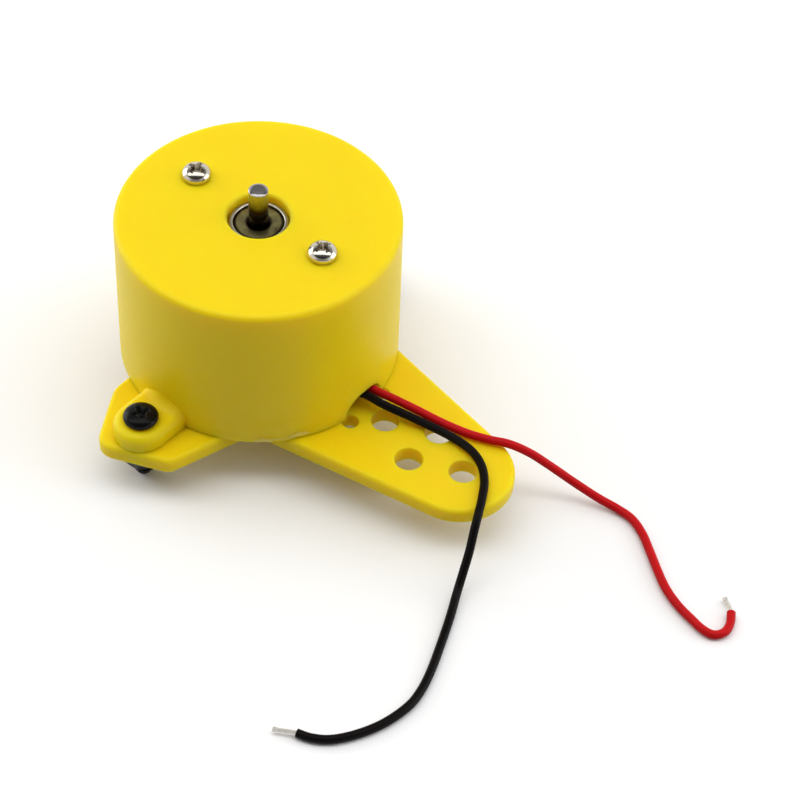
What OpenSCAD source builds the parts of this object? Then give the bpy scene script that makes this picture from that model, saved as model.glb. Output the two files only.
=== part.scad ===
// A small round direct-current motor in a moulded cup, screwed to a base plate with a drilled arm.
// Lengths are in millimetres. The origin is on the shaft's axis, level with the cup's top face.
// +Z runs out along the shaft, +X along the arm, and the two fixing ears lie along Y.

/* [Motor case] */
// Diameter of the drawn steel can
can_d = 24.4; // [22:0.1:27]
// Length of the can from its mounting face to its open rim
can_h = 12.4; // [12:0.1:15]
// Thickness of the can's steel sheet
can_sheet = 0.8; // [0.5:0.05:0.9]
// Radius of the can's drawn edge
can_edge_r = 1; // [0.9:0.1:1.8]
// Diameter of the boss drawn up round the front bush
boss_d = 6.1; // [5.4:0.1:7]
// Height of the boss above the mounting face
boss_h = 1.2; // [0.8:0.1:1.8]
// Wall thickness of the boss
boss_wall = 0.5; // [0.4:0.05:0.9]
// Distance between the two tapped holes in the mounting face
face_pitch = 17; // [15:0.1:18]
// Radial thickness of the ring magnet
magnet_t = 1.9; // [1.2:0.05:1.95]
// Axial height of the ring magnet
magnet_h = 7; // [5:0.1:7.4]
// Width of the slit in the ring magnet
magnet_slit = 1.2; // [0.5:0.1:3]
// Thickness of the moulded end bell
bell_t = 1.8; // [1.4:0.1:2]

/* [Shaft and bushes] */
// Diameter of the shaft's free end
shaft_d = 2; // [1.8:0.05:2.4]
// Diameter of the shaft below its free end, where it is ground for the bushes
journal_d = 1.97; // [1.7:0.01:1.98]
// Length of the shaft above the cup's top face
shaft_out = 3.5; // [2:0.1:8]
// How far the full diameter reaches below the cup's top face
free_end_sink = 0.3; // [0.1:0.05:0.6]
// Width of the relief groove between the shaft's free end and its ground part
groove_w = 0.6; // [0.55:0.05:0.7]
// Depth of the relief groove below the free end's surface
groove_depth = 0.2; // [0.18:0.02:0.3]
// Chamfer on both ends of the shaft
shaft_chamfer = 0.15; // [0.1:0.05:0.4]
// Length of the shaft past the rear bush
shaft_tail = 0.6; // [0.3:0.1:1.2]
// Depth of the front bush's face below the boss's rim
bush_sink = 0.15; // [0.05:0.05:0.4]
// Length of the front bush
front_bush_h = 2.3; // [1.9:0.1:2.5]
// Outer diameter of the rear bush
rear_bush_d = 4; // [3.2:0.1:5]
// How far the rear bush stands out of the end bell
rear_bush_out = 0.5; // [0.2:0.1:1]
// Depth of the countersink at a bush's mouth
bush_mouth = 0.25; // [0.1:0.05:0.4]
// Chamfer round a bush's outer edge
bush_chamfer = 0.15; // [0.1:0.05:0.2]

/* [Moulded cup] */
// Thickness of the cup's side wall at the top
cup_wall = 2; // [1.4:0.1:3]
// Thickness of the cup's top, which the motor's face is screwed to
cup_top = 2; // [1.6:0.1:2.2]
// Radius that rounds the cup's top edge
cup_edge_r = 0.6; // [0.2:0.1:1.2]
// How much the cup's outside widens from its top to its rim, on the radius
cup_draft = 0.1; // [0:0.05:0.4]
// Height left under the motor for its terminals and leads
wiring_room = 3.4; // [3.3:0.1:6]
// Width of the arched opening for the leads
arch_w = 5.6; // [5.2:0.1:7]
// Height of the arched opening
arch_h = 2.45; // [2.35:0.05:2.6]

/* [Fixing ears] */
// Distance from the shaft's axis to each ear's screw
ear_reach = 17.75; // [17.6:0.05:19]
// Width of the round-ended lug on the cup
lug_w = 5.7; // [5.2:0.1:7]
// Height of the lug above the base plate
lug_h = 2; // [1.4:0.1:4]
// Radius that rounds the lug's top edge
lug_edge_r = 0.8; // [0.3:0.1:1.2]
// Radius that rounds an ear's outer corner
ear_corner_r = 1.9; // [1.4:0.1:2.2]
// How far the middle of an ear's outer corner lies beyond its screw
ear_corner_out = 1.85; // [1.5:0.05:2.2]
// How far the middle of an ear's outer corner lies behind its screw
ear_corner_back = 1.6; // [1.2:0.1:2]
// Radius that rounds the bulge of an ear's back edge
ear_bulge_r = 2.8; // [2.2:0.1:3.2]
// How far the middle of that bulge lies inside the screw, towards the cup
ear_bulge_in = 3.15; // [2.8:0.05:3.6]
// How far the middle of that bulge lies behind the screw
ear_bulge_back = 3.4; // [3:0.1:3.8]
// How far the front ear's fin reaches towards the arm
fin_reach = 3.65; // [3.2:0.05:4.2]
// Radius that rounds the fin's corner
fin_corner_r = 1.5; // [1:0.1:1.8]
// How far the root of the fin reaches towards the arm
fin_root_reach = 7.8; // [7:0.1:8.4]

/* [Base plate and arm] */
// Thickness of the base plate
plate_t = 1.8; // [1.4:0.1:2.6]
// How far the base plate's round middle lies inside the cup's rim
plate_inset = 1.7; // [1.2:0.05:1.9]
// Radius of the arm's taper where it meets the shaft's axis
arm_root_r = 10.7; // [9:0.1:12]
// Radius of the arm's round end
arm_tip_r = 5.7; // [5.2:0.1:6.4]
// Distance from the shaft's axis to the centre of the arm's round end
arm_reach = 27.05; // [26.6:0.05:29]
// Diameter of the four main holes in the arm
arm_hole_d = 2.9; // [2.2:0.1:3]
// Distance from the shaft's axis to the first main hole
arm_hole_x = 17.3; // [16.4:0.1:17.4]
// Step along the arm from one main hole to the next
arm_hole_step = 5.15; // [4.8:0.05:5.3]
// Distance between the two main holes that stand side by side
arm_hole_pair = 4.8; // [4:0.1:5.4]
// Diameter of the two small holes at the arm's root
small_hole_d = 1.8; // [1.4:0.1:2]
// Distance from the shaft's axis to the small holes
small_hole_x = 14.7; // [14.4:0.1:15]
// Distance between the two small holes
small_hole_pair = 5; // [4.6:0.1:5.4]

/* [Fasteners] */
// Thread diameter of the two screws in the motor's face
face_thread_d = 1.7; // [1.4:0.1:2]
// Length of a face screw under its head
face_screw_l = 3.2; // [2.9:0.1:3.3]
// Head diameter of a face screw
face_head_d = 3.2; // [2.8:0.1:3.6]
// Head height of a face screw
face_head_h = 1.3; // [1:0.05:1.5]
// Thread diameter of the two ear screws
ear_thread_d = 2; // [1.6:0.1:2.2]
// Length of an ear screw under its head
ear_screw_l = 8; // [6:0.5:10]
// Head diameter of an ear screw
ear_head_d = 3.6; // [3.2:0.1:4]
// Head height of an ear screw
ear_head_h = 1.3; // [1:0.05:1.6]
// Width across the flats of an ear nut
nut_af = 4; // [3.6:0.1:4.4]
// Thickness of an ear nut
nut_h = 1.6; // [1.2:0.1:1.8]
// Width of the slots in a screw's crossed recess
recess_w = 0.45; // [0.3:0.05:0.6]
// Share of a screw head's height that its crossed recess goes down
recess_depth_share = 0.55; // [0.4:0.05:0.7]

/* [Rotor] */
// Air gap between the ring magnet and the laminated three-pole core
air_gap = 0.48; // [0.3:0.02:0.9]
// Height of the laminated core
core_h = 4; // [3.4:0.1:4.4]
// Depth of the core's middle below the motor's mounting face
core_depth = 5.2; // [5:0.05:5.4]
// Width of a pole's stem
pole_w = 3; // [2.4:0.1:3.4]
// Radial thickness of a pole's shoe
shoe_t = 1.2; // [0.9:0.1:1.5]
// Gap between neighbouring pole shoes
shoe_gap = 2.4; // [1.6:0.1:3.2]
// Radius of the core's middle, where the three poles meet
core_hub_r = 2.6; // [2.4:0.1:2.8]
// Thickness of the insulating plates above and below the core
insulator_t = 0.3; // [0.2:0.05:0.4]
// Build-up of wire on each side of a pole's stem
winding_t = 1.1; // [0.8:0.05:1.2]
// Outer diameter of the commutator
comm_d = 3.6; // [3.4:0.1:4]
// Thickness of the commutator's copper segments
segment_t = 0.35; // [0.2:0.05:0.45]
// Height of the commutator
comm_h = 2.8; // [2.7:0.05:2.85]
// Width of the slits between the commutator's segments
comm_slit = 0.3; // [0.2:0.05:0.5]
// Outer diameter of the spark-quenching ring on the commutator
ring_d = 6.2; // [5.4:0.1:6.6]
// Thickness of the spark-quenching ring
ring_t = 0.6; // [0.4:0.1:0.7]
// Outer diameter of the thrust washers on the shaft
washer_d = 3.4; // [2.8:0.1:3.8]
// Thickness of a thrust washer
washer_t = 0.3; // [0.2:0.05:0.35]

/* [Brush gear and leads] */
// Distance from the can's inside to the middles of the terminals
terminal_inset = 2.8; // [2.6:0.1:3]
// Distance between the middles of the two terminals
terminal_pitch = 5.2; // [5:0.1:5.4]
// Width of a terminal's tab
terminal_w = 1.6; // [1.2:0.1:1.8]
// Thickness of a terminal's tab
terminal_t = 0.4; // [0.3:0.05:0.5]
// Length of a terminal's tab outside the end bell
terminal_l = 2.4; // [2.2:0.1:2.6]
// Thickness of a brush's spring leaf
leaf_t = 0.15; // [0.1:0.05:0.25]
// Width of a brush's spring leaf along the shaft
leaf_w = 0.8; // [0.6:0.1:0.9]
// Diameter of a lead over its insulation
lead_d = 0.9; // [0.7:0.05:1]
// Diameter of a lead's twisted and tinned strands
strand_d = 0.5; // [0.3:0.05:0.6]
// Length of the solder joint between a tab and its lead
solder_l = 0.8; // [0.6:0.1:0.9]
// Straight length of a lead at its solder joint
lead_straight = 0.8; // [0.6:0.1:0.9]

/* [Clearances] */
// Gap round the can inside the cup
motor_gap = 0.3; // [0.1:0.05:0.6]
// Gap round the boss in the cup's top
boss_gap = 0.22; // [0.1:0.02:0.5]
// Gap round a screw in the hole that it passes through
screw_gap = 0.12; // [0.05:0.01:0.2]
// Gap round a screw's thread in its tapped hole or nut
thread_gap = 0.02; // [0:0.01:0.05]
// Gap round a piece that is pressed or moulded into its seat
seat_gap = 0.02; // [0:0.01:0.05]
// Running gap round the shaft in its bushes, on the radius
bush_run = 0.02; // [0.01:0.01:0.05]
// Gap that a brush's leaf keeps from the turning commutator
brush_run = 0.05; // [0.02:0.01:0.1]
// Gap that the windings keep from what they pass
winding_gap = 0.1; // [0.05:0.05:0.3]

/* [Hidden] */
$fn = 64;

YELLOW = [0.96, 0.82, 0.08];
STEEL = [0.75, 0.76, 0.78];
BRONZE = [0.55, 0.47, 0.28];
COPPER = [0.72, 0.4, 0.2];
TIN = [0.8, 0.8, 0.78];

// Levels along the shaft, from the cup's top face at zero downwards.
z_face = -cup_top;
z_can_rear = z_face - can_h;
z_rim = z_can_rear - wiring_room;
z_plate = z_rim - plate_t;
z_boss = z_face + boss_h;
z_bush = z_boss - bush_sink;
z_core = z_face - core_depth;
z_core_end = z_core - core_h / 2 - insulator_t;
z_coil_end = z_core_end - winding_gap - winding_t;
z_washer = z_bush - front_bush_h - bush_run;
z_comm_end = z_core_end - comm_h;
z_rear_bush = z_comm_end - washer_t - bush_run;
z_leaf = (z_coil_end + z_comm_end - leaf_w) / 2;
z_tail = z_can_rear - rear_bush_out - shaft_tail;
z_lug = z_rim + lug_h;

// Radii that follow from what fits inside what.
can_r = can_d / 2;
can_in_r = can_r - can_sheet;
cavity_r = can_r + motor_gap;
cup_r = cavity_r + cup_wall;
rim_r = cup_r + cup_draft;
bush_r = boss_d / 2 - boss_wall;
journal_r = journal_d / 2;
comm_r = comm_d / 2;
core_r = can_in_r - seat_gap - magnet_t - air_gap;
recess_reach = 0.34;
cut = 0.01;
tuck = 0.005;

// Corners of an ear, seen from above with the screw on the -Y side: centre and radius of each.
// The first two are its roots, which lie under the cup.
root_y = -9;
ear_back = [[-ear_bulge_back - ear_bulge_r, root_y, 0],
    [-ear_bulge_back, -ear_reach + ear_bulge_in, ear_bulge_r],
    [-ear_corner_back, -ear_reach - ear_corner_out, ear_corner_r]];
plain_ear_corners = concat([[lug_w / 2, root_y, 0]], ear_back, [[0, -ear_reach, lug_w / 2]]);
fin_ear_corners = concat([[fin_root_reach, root_y, 0]], ear_back, [[fin_reach, -ear_reach, fin_corner_r]]);

// Middle line of each lead from its solder joint to the end of its insulation.
lead_z = z_can_rear - 1.6;
terminal_x = can_in_r - terminal_inset;
tab_face_x = terminal_x + terminal_t / 2;
lead_start_x = tab_face_x + solder_l;
BLACK_ROUTE = [[lead_start_x, -terminal_pitch / 2, lead_z],
    [lead_start_x + lead_straight, -terminal_pitch / 2, lead_z],
    [11.6, -2, -16.1], [12.8, -0.7, -16.2], [14.2, 0.25, -16.3], [16.5, 0.6, -16.5],
    [18.5, 1.2, -16.8], [21, 1.85, -17.1], [24, 2.4, -17.3], [26.6, 2.35, -17.3], [28.7, 1.5, -17.3],
    [30.3, 0, -17.3], [31.6, -2, -17.3], [32.4, -3.5, -17.4], [33.1, -5, -18.3], [33.6, -6.2, -19.9],
    [34, -7.5, -21.6], [34.6, -9.1, -22.8], [35.8, -11.6, -23.25], [37.2, -14.7, -23.3],
    [38.6, -18, -23.3], [39.4, -20.6, -23.3], [39.6, -22.8, -23.3], [39.1, -25.7, -23.3],
    [38, -28.3, -23.3], [36.6, -30.3, -23.3], [35.1, -31.4, -23.3], [33.7, -31.9, -23.3]];
RED_ROUTE = [[lead_start_x, terminal_pitch / 2, lead_z],
    [lead_start_x + lead_straight, terminal_pitch / 2, lead_z],
    [11.4, 2, -16.2], [12.6, 1.4, -16.4], [14.2, 1.4, -16.4], [16.8, 2, -16.6],
    [19.5, 2.7, -17], [22.3, 3.3, -17.3], [25.1, 3.9, -17.3], [27.2, 4.7, -17.3], [29.1, 5.6, -17.3],
    [31, 6.7, -18.2], [33, 7.8, -19.7], [35.1, 8.8, -21.2], [37.7, 9.8, -22.6],
    [39.8, 10.4, -23.2], [41.7, 10.4, -23.3], [43.6, 9.6, -23.3], [45.5, 8.3, -23.3], [47.7, 6.7, -23.3],
    [49.7, 5.4, -23.3], [51.8, 4.5, -23.3], [53.8, 4, -23.3], [55.4, 3.7, -23.3],
    [56.6, 3.9, -23.3], [57.2, 4.9, -23.3], [57, 6.1, -23.3], [56.3, 7.3, -23.3]];
BLACK_TIP_ROUTE = [[33.7, -31.9, -23.3], [32.7, -32.5, -23.3], [31.7, -33.1, -23.3]];
RED_TIP_ROUTE = [[56.3, 7.3, -23.3], [55.6, 8, -23.4], [54.7, 8.4, -23.4]];
RINGS = 34;
TIP_RINGS = 5;
SIDES = 8;

// A unit vector along v.
function unit(v) = v / norm(v);

// Outward normal of the straight edge that touches two corner circles on their right-hand side.
function edge_normal(a, b) =
    let (way = [b[0] - a[0], b[1] - a[1]], along = unit(way), lean = (a[2] - b[2]) / norm(way))
    [along[1], -along[0]] * sqrt(1 - lean * lean) + along * lean;

// The two points where that straight edge leaves one corner circle and meets the next.
// The edge is tucked in by a hair, so that it crosses both circles and never only grazes them.
function edge_ends(a, b) =
    let (n = edge_normal(a, b)) [[a[0], a[1]] + (a[2] - tuck) * n, [b[0], b[1]] + (b[2] - tuck) * n];

// A point on the smooth curve through a route's points, at u points along it.
function on_route(route, u) =
    let (last = len(route) - 1, i = max(min(floor(u), last - 1), 0), t = u - i,
        a = route[max(i - 1, 0)], b = route[i], c = route[i + 1], d = route[min(i + 2, last)])
    b + 0.5 * t * (c - a + t * (2 * a - 5 * b + 4 * c - d + t * (3 * (b - c) + d - a)));

// The ring of points round a route at u points along it, for a tube of radius r.
function ring_at(route, u, r) =
    let (way = unit(on_route(route, u + 0.01) - on_route(route, u - 0.01)),
        side = unit(cross(way, [0, 0, 1])), up = cross(side, way))
    [for (k = [0 : SIDES - 1]) on_route(route, u) + r * (cos(360 * k / SIDES) * side
        + sin(360 * k / SIDES) * up)];

// Points of a quarter circle round [x, y], from angle a to angle b.
function arc(x, y, r, a, b, steps = 8) =
    [for (i = [0 : steps]) let (w = a + (b - a) * i / steps) [x + r * cos(w), y + r * sin(w)]];

// A plane outline round corner circles given in turn, with straight edges that touch them.
// The first corners, up to bare, get no circle: they are sharp, or another shape covers them.
module rounded_outline(corners, bare = 0) {
    polygon([for (i = [0 : len(corners) - 1]) each edge_ends(corners[i], corners[(i + 1) % len(corners)])]);
    for (i = [bare : len(corners) - 1]) translate([corners[i][0], corners[i][1]]) circle(r = corners[i][2]);
}

// A tube swept along a route.
module swept_tube(route, d, rings) {
    last = len(route) - 1;
    points = [for (i = [0 : rings - 1]) each ring_at(route, last * i / (rings - 1), d / 2)];
    walls = [for (i = [0 : rings - 2], k = [0 : SIDES - 1])
        [i * SIDES + k, i * SIDES + (k + 1) % SIDES,
            (i + 1) * SIDES + (k + 1) % SIDES, (i + 1) * SIDES + k]];
    first_cap = [for (k = [SIDES - 1 : -1 : 0]) k];
    last_cap = [for (k = [0 : SIDES - 1]) (rings - 1) * SIDES + k];
    polyhedron(points, concat([first_cap], walls, [last_cap]), convexity = 4);
}

// A plain ring between two levels.
module ring(r_out, r_in, z_low, z_high) {
    translate([0, 0, z_low]) difference() {
        cylinder(r = r_out, h = z_high - z_low);
        translate([0, 0, -cut]) cylinder(r = r_in, h = z_high - z_low + 2 * cut);
    }
}

// A drill that cuts a round hole between two levels.
module drill(d, x, y, z_low, z_high) {
    translate([x, y, z_low - cut]) cylinder(d = d, h = z_high - z_low + 2 * cut);
}

// What stands once at each of the two ears, with the front one at -Y.
module at_both_ears() {
    for (side = [0, 1]) mirror([0, side, 0]) children();
}

// Places of the two screws in the motor's face.
module at_face_screws() {
    for (side = [-1, 1]) translate([side * face_pitch / 2, 0, 0]) children();
}

// A pan-head screw with a crossed recess, its head's underside at zero and its thread downwards.
module pan_screw(thread_d, length, head_d, head_h) {
    tip = thread_d / 6;
    crown = head_h * 0.55;
    slot = head_d * recess_reach;
    floor_z = head_h * (1 - recess_depth_share);
    difference() {
        rotate_extrude() polygon(concat(
            [[0, -length], [thread_d / 2 - tip, -length], [thread_d / 2, tip - length],
                [thread_d / 2, 0], [head_d / 2, 0], [head_d / 2, head_h - crown]],
            [for (w = [15 : 15 : 90]) [head_d / 2 * cos(w), head_h - crown + crown * sin(w)]]));
        for (turn = [45, 135]) rotate([0, 0, turn])
            translate([-slot, -recess_w / 2, floor_z]) cube([2 * slot, recess_w, head_h]);
    }
}

// The moulded cup, with its top, side wall, two lugs and the arched opening for the leads.
module housing_cup() {
    color(YELLOW) difference() {
        union() {
            rotate_extrude($fn = 128) polygon(concat(
                [[0, z_rim], [rim_r, z_rim]],
                arc(cup_r - cup_edge_r, -cup_edge_r, cup_edge_r, 0, 90), [[0, 0]]));
            at_both_ears() lug();
        }
        translate([0, 0, z_rim - cut]) cylinder(r = cavity_r, h = z_face - z_rim + cut, $fn = 128);
        drill(boss_d + 2 * boss_gap, 0, 0, z_face, 0);
        at_face_screws() drill(face_thread_d + 2 * screw_gap, 0, 0, z_face, 0);
        at_both_ears() drill(ear_thread_d + 2 * screw_gap, 0, -ear_reach, z_rim, z_lug);
        lead_arch();
    }
}

// A lug: a round end about its screw and straight sides back to the cup, with its top edge rounded.
module lug() {
    half = lug_w / 2;
    back = ear_reach + root_y;
    side = concat([[half, 0]], arc(half - lug_edge_r, lug_h - lug_edge_r, lug_edge_r, 0, 90));
    translate([0, -ear_reach, z_rim]) {
        rotate([0, 0, 180]) rotate_extrude(angle = 180) polygon(concat([[0, 0]], side, [[0, lug_h]]));
        translate([0, back, 0]) rotate([90, 0, 0]) linear_extrude(height = back)
            polygon(concat(side, [for (i = [len(side) - 1 : -1 : 0]) [-side[i][0], side[i][1]]]));
    }
}

// The cutter for the arched opening, through the wall on the arm's side.
module lead_arch() {
    flat = arch_w / 2 - arch_h;
    translate([cavity_r - cup_wall, 0, z_rim]) rotate([90, 0, 90])
        linear_extrude(height = 3 * cup_wall) intersection() {
            union() {
                for (side = [-1, 1]) translate([side * flat, 0]) circle(r = arch_h);
                translate([-flat, 0]) square([2 * flat, arch_h]);
            }
            translate([-arch_w, -cut]) square([2 * arch_w, 2 * arch_h]);
        }
}

// The flat base plate: a round middle, the tapered arm with its holes, and the two ears.
module base_arm_plate() {
    color(YELLOW) difference() {
        translate([0, 0, z_plate]) linear_extrude(height = plate_t) {
            circle(r = rim_r - plate_inset, $fn = 128);
            rounded_outline([[0, 0, arm_root_r], [arm_reach, 0, arm_tip_r]], 1);
            rounded_outline(fin_ear_corners, 2);
            mirror([0, 1]) rounded_outline(plain_ear_corners, 2);
        }
        for (side = [-1, 1]) {
            drill(arm_hole_d, arm_hole_x + arm_hole_step * (1 + side), 0, z_plate, z_rim);
            drill(arm_hole_d, arm_hole_x + arm_hole_step, side * arm_hole_pair / 2, z_plate, z_rim);
            drill(small_hole_d, small_hole_x, side * small_hole_pair / 2, z_plate, z_rim);
        }
        at_both_ears() drill(ear_thread_d + 2 * screw_gap, 0, -ear_reach, z_plate, z_rim);
    }
}

// The two nickel-plated screws that hold the motor's face to the cup's top.
module face_screws() {
    color(STEEL) at_face_screws()
        pan_screw(face_thread_d - 2 * thread_gap, face_screw_l, face_head_d, face_head_h);
}

// The two black screws that hold the cup's lugs to the base plate.
module ear_screws() {
    color([0.08, 0.08, 0.09]) at_both_ears() translate([0, -ear_reach, z_lug])
        pan_screw(ear_thread_d - 2 * thread_gap, ear_screw_l, ear_head_d, ear_head_h);
}

// The two hexagonal nuts under the base plate, with chamfered corners.
module ear_nuts() {
    corner_r = nut_af / sqrt(3);
    color([0.1, 0.1, 0.11]) at_both_ears() translate([0, -ear_reach, z_plate - nut_h]) difference() {
        intersection() {
            cylinder(r = corner_r, h = nut_h, $fn = 6);
            rotate_extrude() polygon([[0, 0], [nut_af / 2, 0], [corner_r, nut_h / 8],
                [corner_r, nut_h], [0, nut_h]]);
        }
        drill(ear_thread_d, 0, 0, 0, nut_h);
    }
}

// The deep-drawn steel can, with the boss for the front bush and two tapped holes.
module motor_can() {
    inner_r = can_edge_r - can_sheet;
    color(STEEL) difference() {
        rotate_extrude($fn = 128) polygon(concat(
            [[bush_r + seat_gap, z_boss], [bush_r + seat_gap, z_face - can_sheet]],
            arc(can_in_r - inner_r, z_face - can_sheet - inner_r, inner_r, 90, 0),
            [[can_in_r, z_can_rear], [can_r, z_can_rear]],
            arc(can_r - can_edge_r, z_face - can_edge_r, can_edge_r, 0, 90),
            [[boss_d / 2, z_face]],
            arc(boss_d / 2 - boss_wall / 2, z_boss - boss_wall / 2, boss_wall / 2, 0, 90, 4)));
        at_face_screws() drill(face_thread_d, 0, 0, z_face - can_sheet, z_face);
    }
}

// A sintered bush with a countersunk mouth at its upper end, its lower end at zero.
module bush(r_out, height) {
    bore_r = journal_r + bush_run;
    rotate_extrude() polygon([[bore_r, 0], [r_out, 0], [r_out, height - bush_chamfer],
        [r_out - bush_chamfer, height], [bore_r + bush_mouth, height], [bore_r, height - bush_mouth]]);
}

// The front bush, pressed into the can's boss.
module front_bush() {
    color(BRONZE) translate([0, 0, z_bush - front_bush_h]) bush(bush_r, front_bush_h);
}

// The rear bush, pressed into the end bell, with its countersunk mouth outwards.
module rear_bush() {
    color(BRONZE) translate([0, 0, z_can_rear - rear_bush_out]) mirror([0, 0, 1])
        translate([0, 0, z_can_rear - rear_bush_out - z_rear_bush])
            bush(rear_bush_d / 2, z_rear_bush - z_can_rear + rear_bush_out);
}

// The bonded ring magnet inside the can, slit where its strip's ends meet.
module magnet_ring() {
    outer = can_in_r - seat_gap;
    color([0.2, 0.2, 0.22]) difference() {
        ring(outer, outer - magnet_t, z_core - magnet_h / 2, z_core + magnet_h / 2);
        translate([-outer - 1, -magnet_slit / 2, z_core - magnet_h])
            cube([magnet_t + 2, magnet_slit, 2 * magnet_h]);
    }
}

// The moulded end bell that closes the can and carries the rear bush and the terminals.
module end_bell() {
    color([0.9, 0.9, 0.87]) difference() {
        translate([0, 0, z_can_rear]) cylinder(r = can_in_r - seat_gap, h = bell_t, $fn = 128);
        drill(rear_bush_d + 2 * seat_gap, 0, 0, z_can_rear, z_can_rear + bell_t);
        for (side = [-1, 1]) translate([terminal_x - terminal_t / 2 - seat_gap,
            side * terminal_pitch / 2 - terminal_w / 2 - seat_gap, z_can_rear - cut])
            cube([terminal_t + 2 * seat_gap, terminal_w + 2 * seat_gap, bell_t + 2 * cut]);
    }
}

// A brush: a spring leaf from its terminal to the commutator's side, on the +Y side.
module brush() {
    near = comm_r + brush_run;
    reach = comm_r * 0.7;
    end_x = terminal_x - terminal_t / 2;
    far = terminal_pitch / 2 - terminal_w / 4;
    translate([0, 0, z_leaf]) linear_extrude(height = leaf_w)
        polygon([[-reach, near], [0, near], [end_x, far], [end_x, far + leaf_t],
            [0, near + leaf_t], [-reach, near + leaf_t]]);
}

// A terminal: a flat tab through the end bell, on the +Y side.
module terminal() {
    translate([terminal_x - terminal_t / 2, terminal_pitch / 2 - terminal_w / 2,
        z_can_rear - terminal_l])
        cube([terminal_t, terminal_w, terminal_l + z_leaf + leaf_w - z_can_rear]);
}

// Each brush and terminal in its own node: positive on the red lead's side.
module brush_positive() {
    color(COPPER) brush();
}

module brush_negative() {
    color(COPPER) mirror([0, 1, 0]) brush();
}

module terminal_positive() {
    color(TIN) terminal();
}

module terminal_negative() {
    color(TIN) mirror([0, 1, 0]) terminal();
}

// The two solder joints, each a cone that narrows from the tab to the lead.
module solder_joints() {
    color(TIN) for (side = [-1, 1])
        translate([tab_face_x, side * terminal_pitch / 2, lead_z]) rotate([0, 90, 0])
            cylinder(r1 = lead_d * 0.8, r2 = lead_d / 2, h = solder_l);
}

// The two leads and their stripped, tinned ends.
module red_lead() {
    color([0.75, 0.05, 0.07]) swept_tube(RED_ROUTE, lead_d, RINGS);
}

module black_lead() {
    color([0.08, 0.07, 0.07]) swept_tube(BLACK_ROUTE, lead_d, RINGS);
}

module red_lead_tip() {
    color(TIN) swept_tube(RED_TIP_ROUTE, strand_d, TIP_RINGS);
}

module black_lead_tip() {
    color(TIN) swept_tube(BLACK_TIP_ROUTE, strand_d, TIP_RINGS);
}

// The motor's shaft, with its full-size free end above the front bush and a relief groove under that.
module shaft() {
    groove_r = shaft_d / 2 - groove_depth;
    color(STEEL) rotate_extrude() polygon([[0, z_tail], [journal_r - shaft_chamfer, z_tail],
        [journal_r, z_tail + shaft_chamfer], [journal_r, -free_end_sink - groove_w],
        [groove_r, -free_end_sink - groove_w], [groove_r, -free_end_sink], [shaft_d / 2, -free_end_sink],
        [shaft_d / 2, shaft_out - shaft_chamfer], [shaft_d / 2 - shaft_chamfer, shaft_out],
        [0, shaft_out]]);
}

// Plan of the three-pole core, with its poles grown sideways by more.
module core_plan(more = 0) {
    shoe_half = asin((shoe_gap - 2 * more) / 2 / core_r);
    difference() {
        union() {
            circle(r = core_hub_r + more);
            for (turn = [0, 120, 240]) rotate(turn) translate([0, -pole_w / 2 - more])
                square([core_r - shoe_t / 2, pole_w + 2 * more]);
            difference() {
                circle(r = core_r, $fn = 96);
                circle(r = core_r - shoe_t, $fn = 96);
                for (turn = [60, 180, 300]) rotate(turn) polygon([[0, 0],
                    core_r * 2 * [cos(shoe_half), sin(shoe_half)],
                    core_r * 2 * [cos(shoe_half), -sin(shoe_half)]]);
            }
        }
        circle(r = journal_r);
    }
}

// The stack of laminations.
module armature_core() {
    color([0.5, 0.5, 0.52]) translate([0, 0, z_core - core_h / 2])
        linear_extrude(height = core_h) core_plan();
}

// The insulating plates on both ends of the stack, with the core's own plan.
module core_insulators() {
    color([0.15, 0.35, 0.2]) for (z = [z_core + core_h / 2, z_core_end])
        translate([0, 0, z]) linear_extrude(height = insulator_t) core_plan();
}

// One winding: a round-cornered loop of enamelled wire round a pole's stem.
module coil(turn) {
    inner_w = pole_w + 2 * winding_gap;
    inner_h = core_h + 2 * insulator_t + 2 * winding_gap;
    outer_w = inner_w + 2 * winding_t;
    outer_h = inner_h + 2 * winding_t;
    start = core_hub_r + winding_t;
    end = sqrt(pow(core_r - shoe_t, 2) - pow(outer_w / 2, 2)) - winding_gap;
    color(COPPER) rotate([0, 0, turn]) translate([start, 0, z_core]) rotate([90, 0, 90])
        linear_extrude(height = end - start) difference() {
            rounded_outline([for (q = [[-1, -1], [1, -1], [1, 1], [-1, 1]])
                [q[0] * (outer_w / 2 - winding_t), q[1] * (outer_h / 2 - winding_t), winding_t]]);
            square([inner_w, inner_h], center = true);
        }
}

module coil_1() {
    coil(0);
}

module coil_2() {
    coil(120);
}

module coil_3() {
    coil(240);
}

// The commutator's moulded hub, pressed on the shaft.
module commutator_hub() {
    color([0.25, 0.13, 0.08]) ring(comm_r - segment_t, journal_r, z_comm_end, z_core_end);
}

// The commutator's three copper segments.
module commutator_segments() {
    color(COPPER) difference() {
        ring(comm_r, comm_r - segment_t, z_comm_end, z_core_end);
        for (turn = [60, 180, 300]) rotate([0, 0, turn]) translate([0, -comm_slit / 2, z_comm_end - 1])
            cube([comm_r + 1, comm_slit, comm_h + 2]);
    }
}

// The spark-quenching ring round the commutator, against the core's insulator.
module quench_ring() {
    color([0.3, 0.2, 0.15]) ring(ring_d / 2, comm_r, z_core_end - ring_t, z_core_end);
}

// The thrust washers that keep the rotor between its bushes.
module front_washer() {
    color([0.2, 0.2, 0.2]) ring(washer_d / 2, journal_r, z_washer - washer_t, z_washer);
}

module rear_washer() {
    color([0.2, 0.2, 0.2]) ring(washer_d / 2, journal_r, z_comm_end - washer_t, z_comm_end);
}

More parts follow.
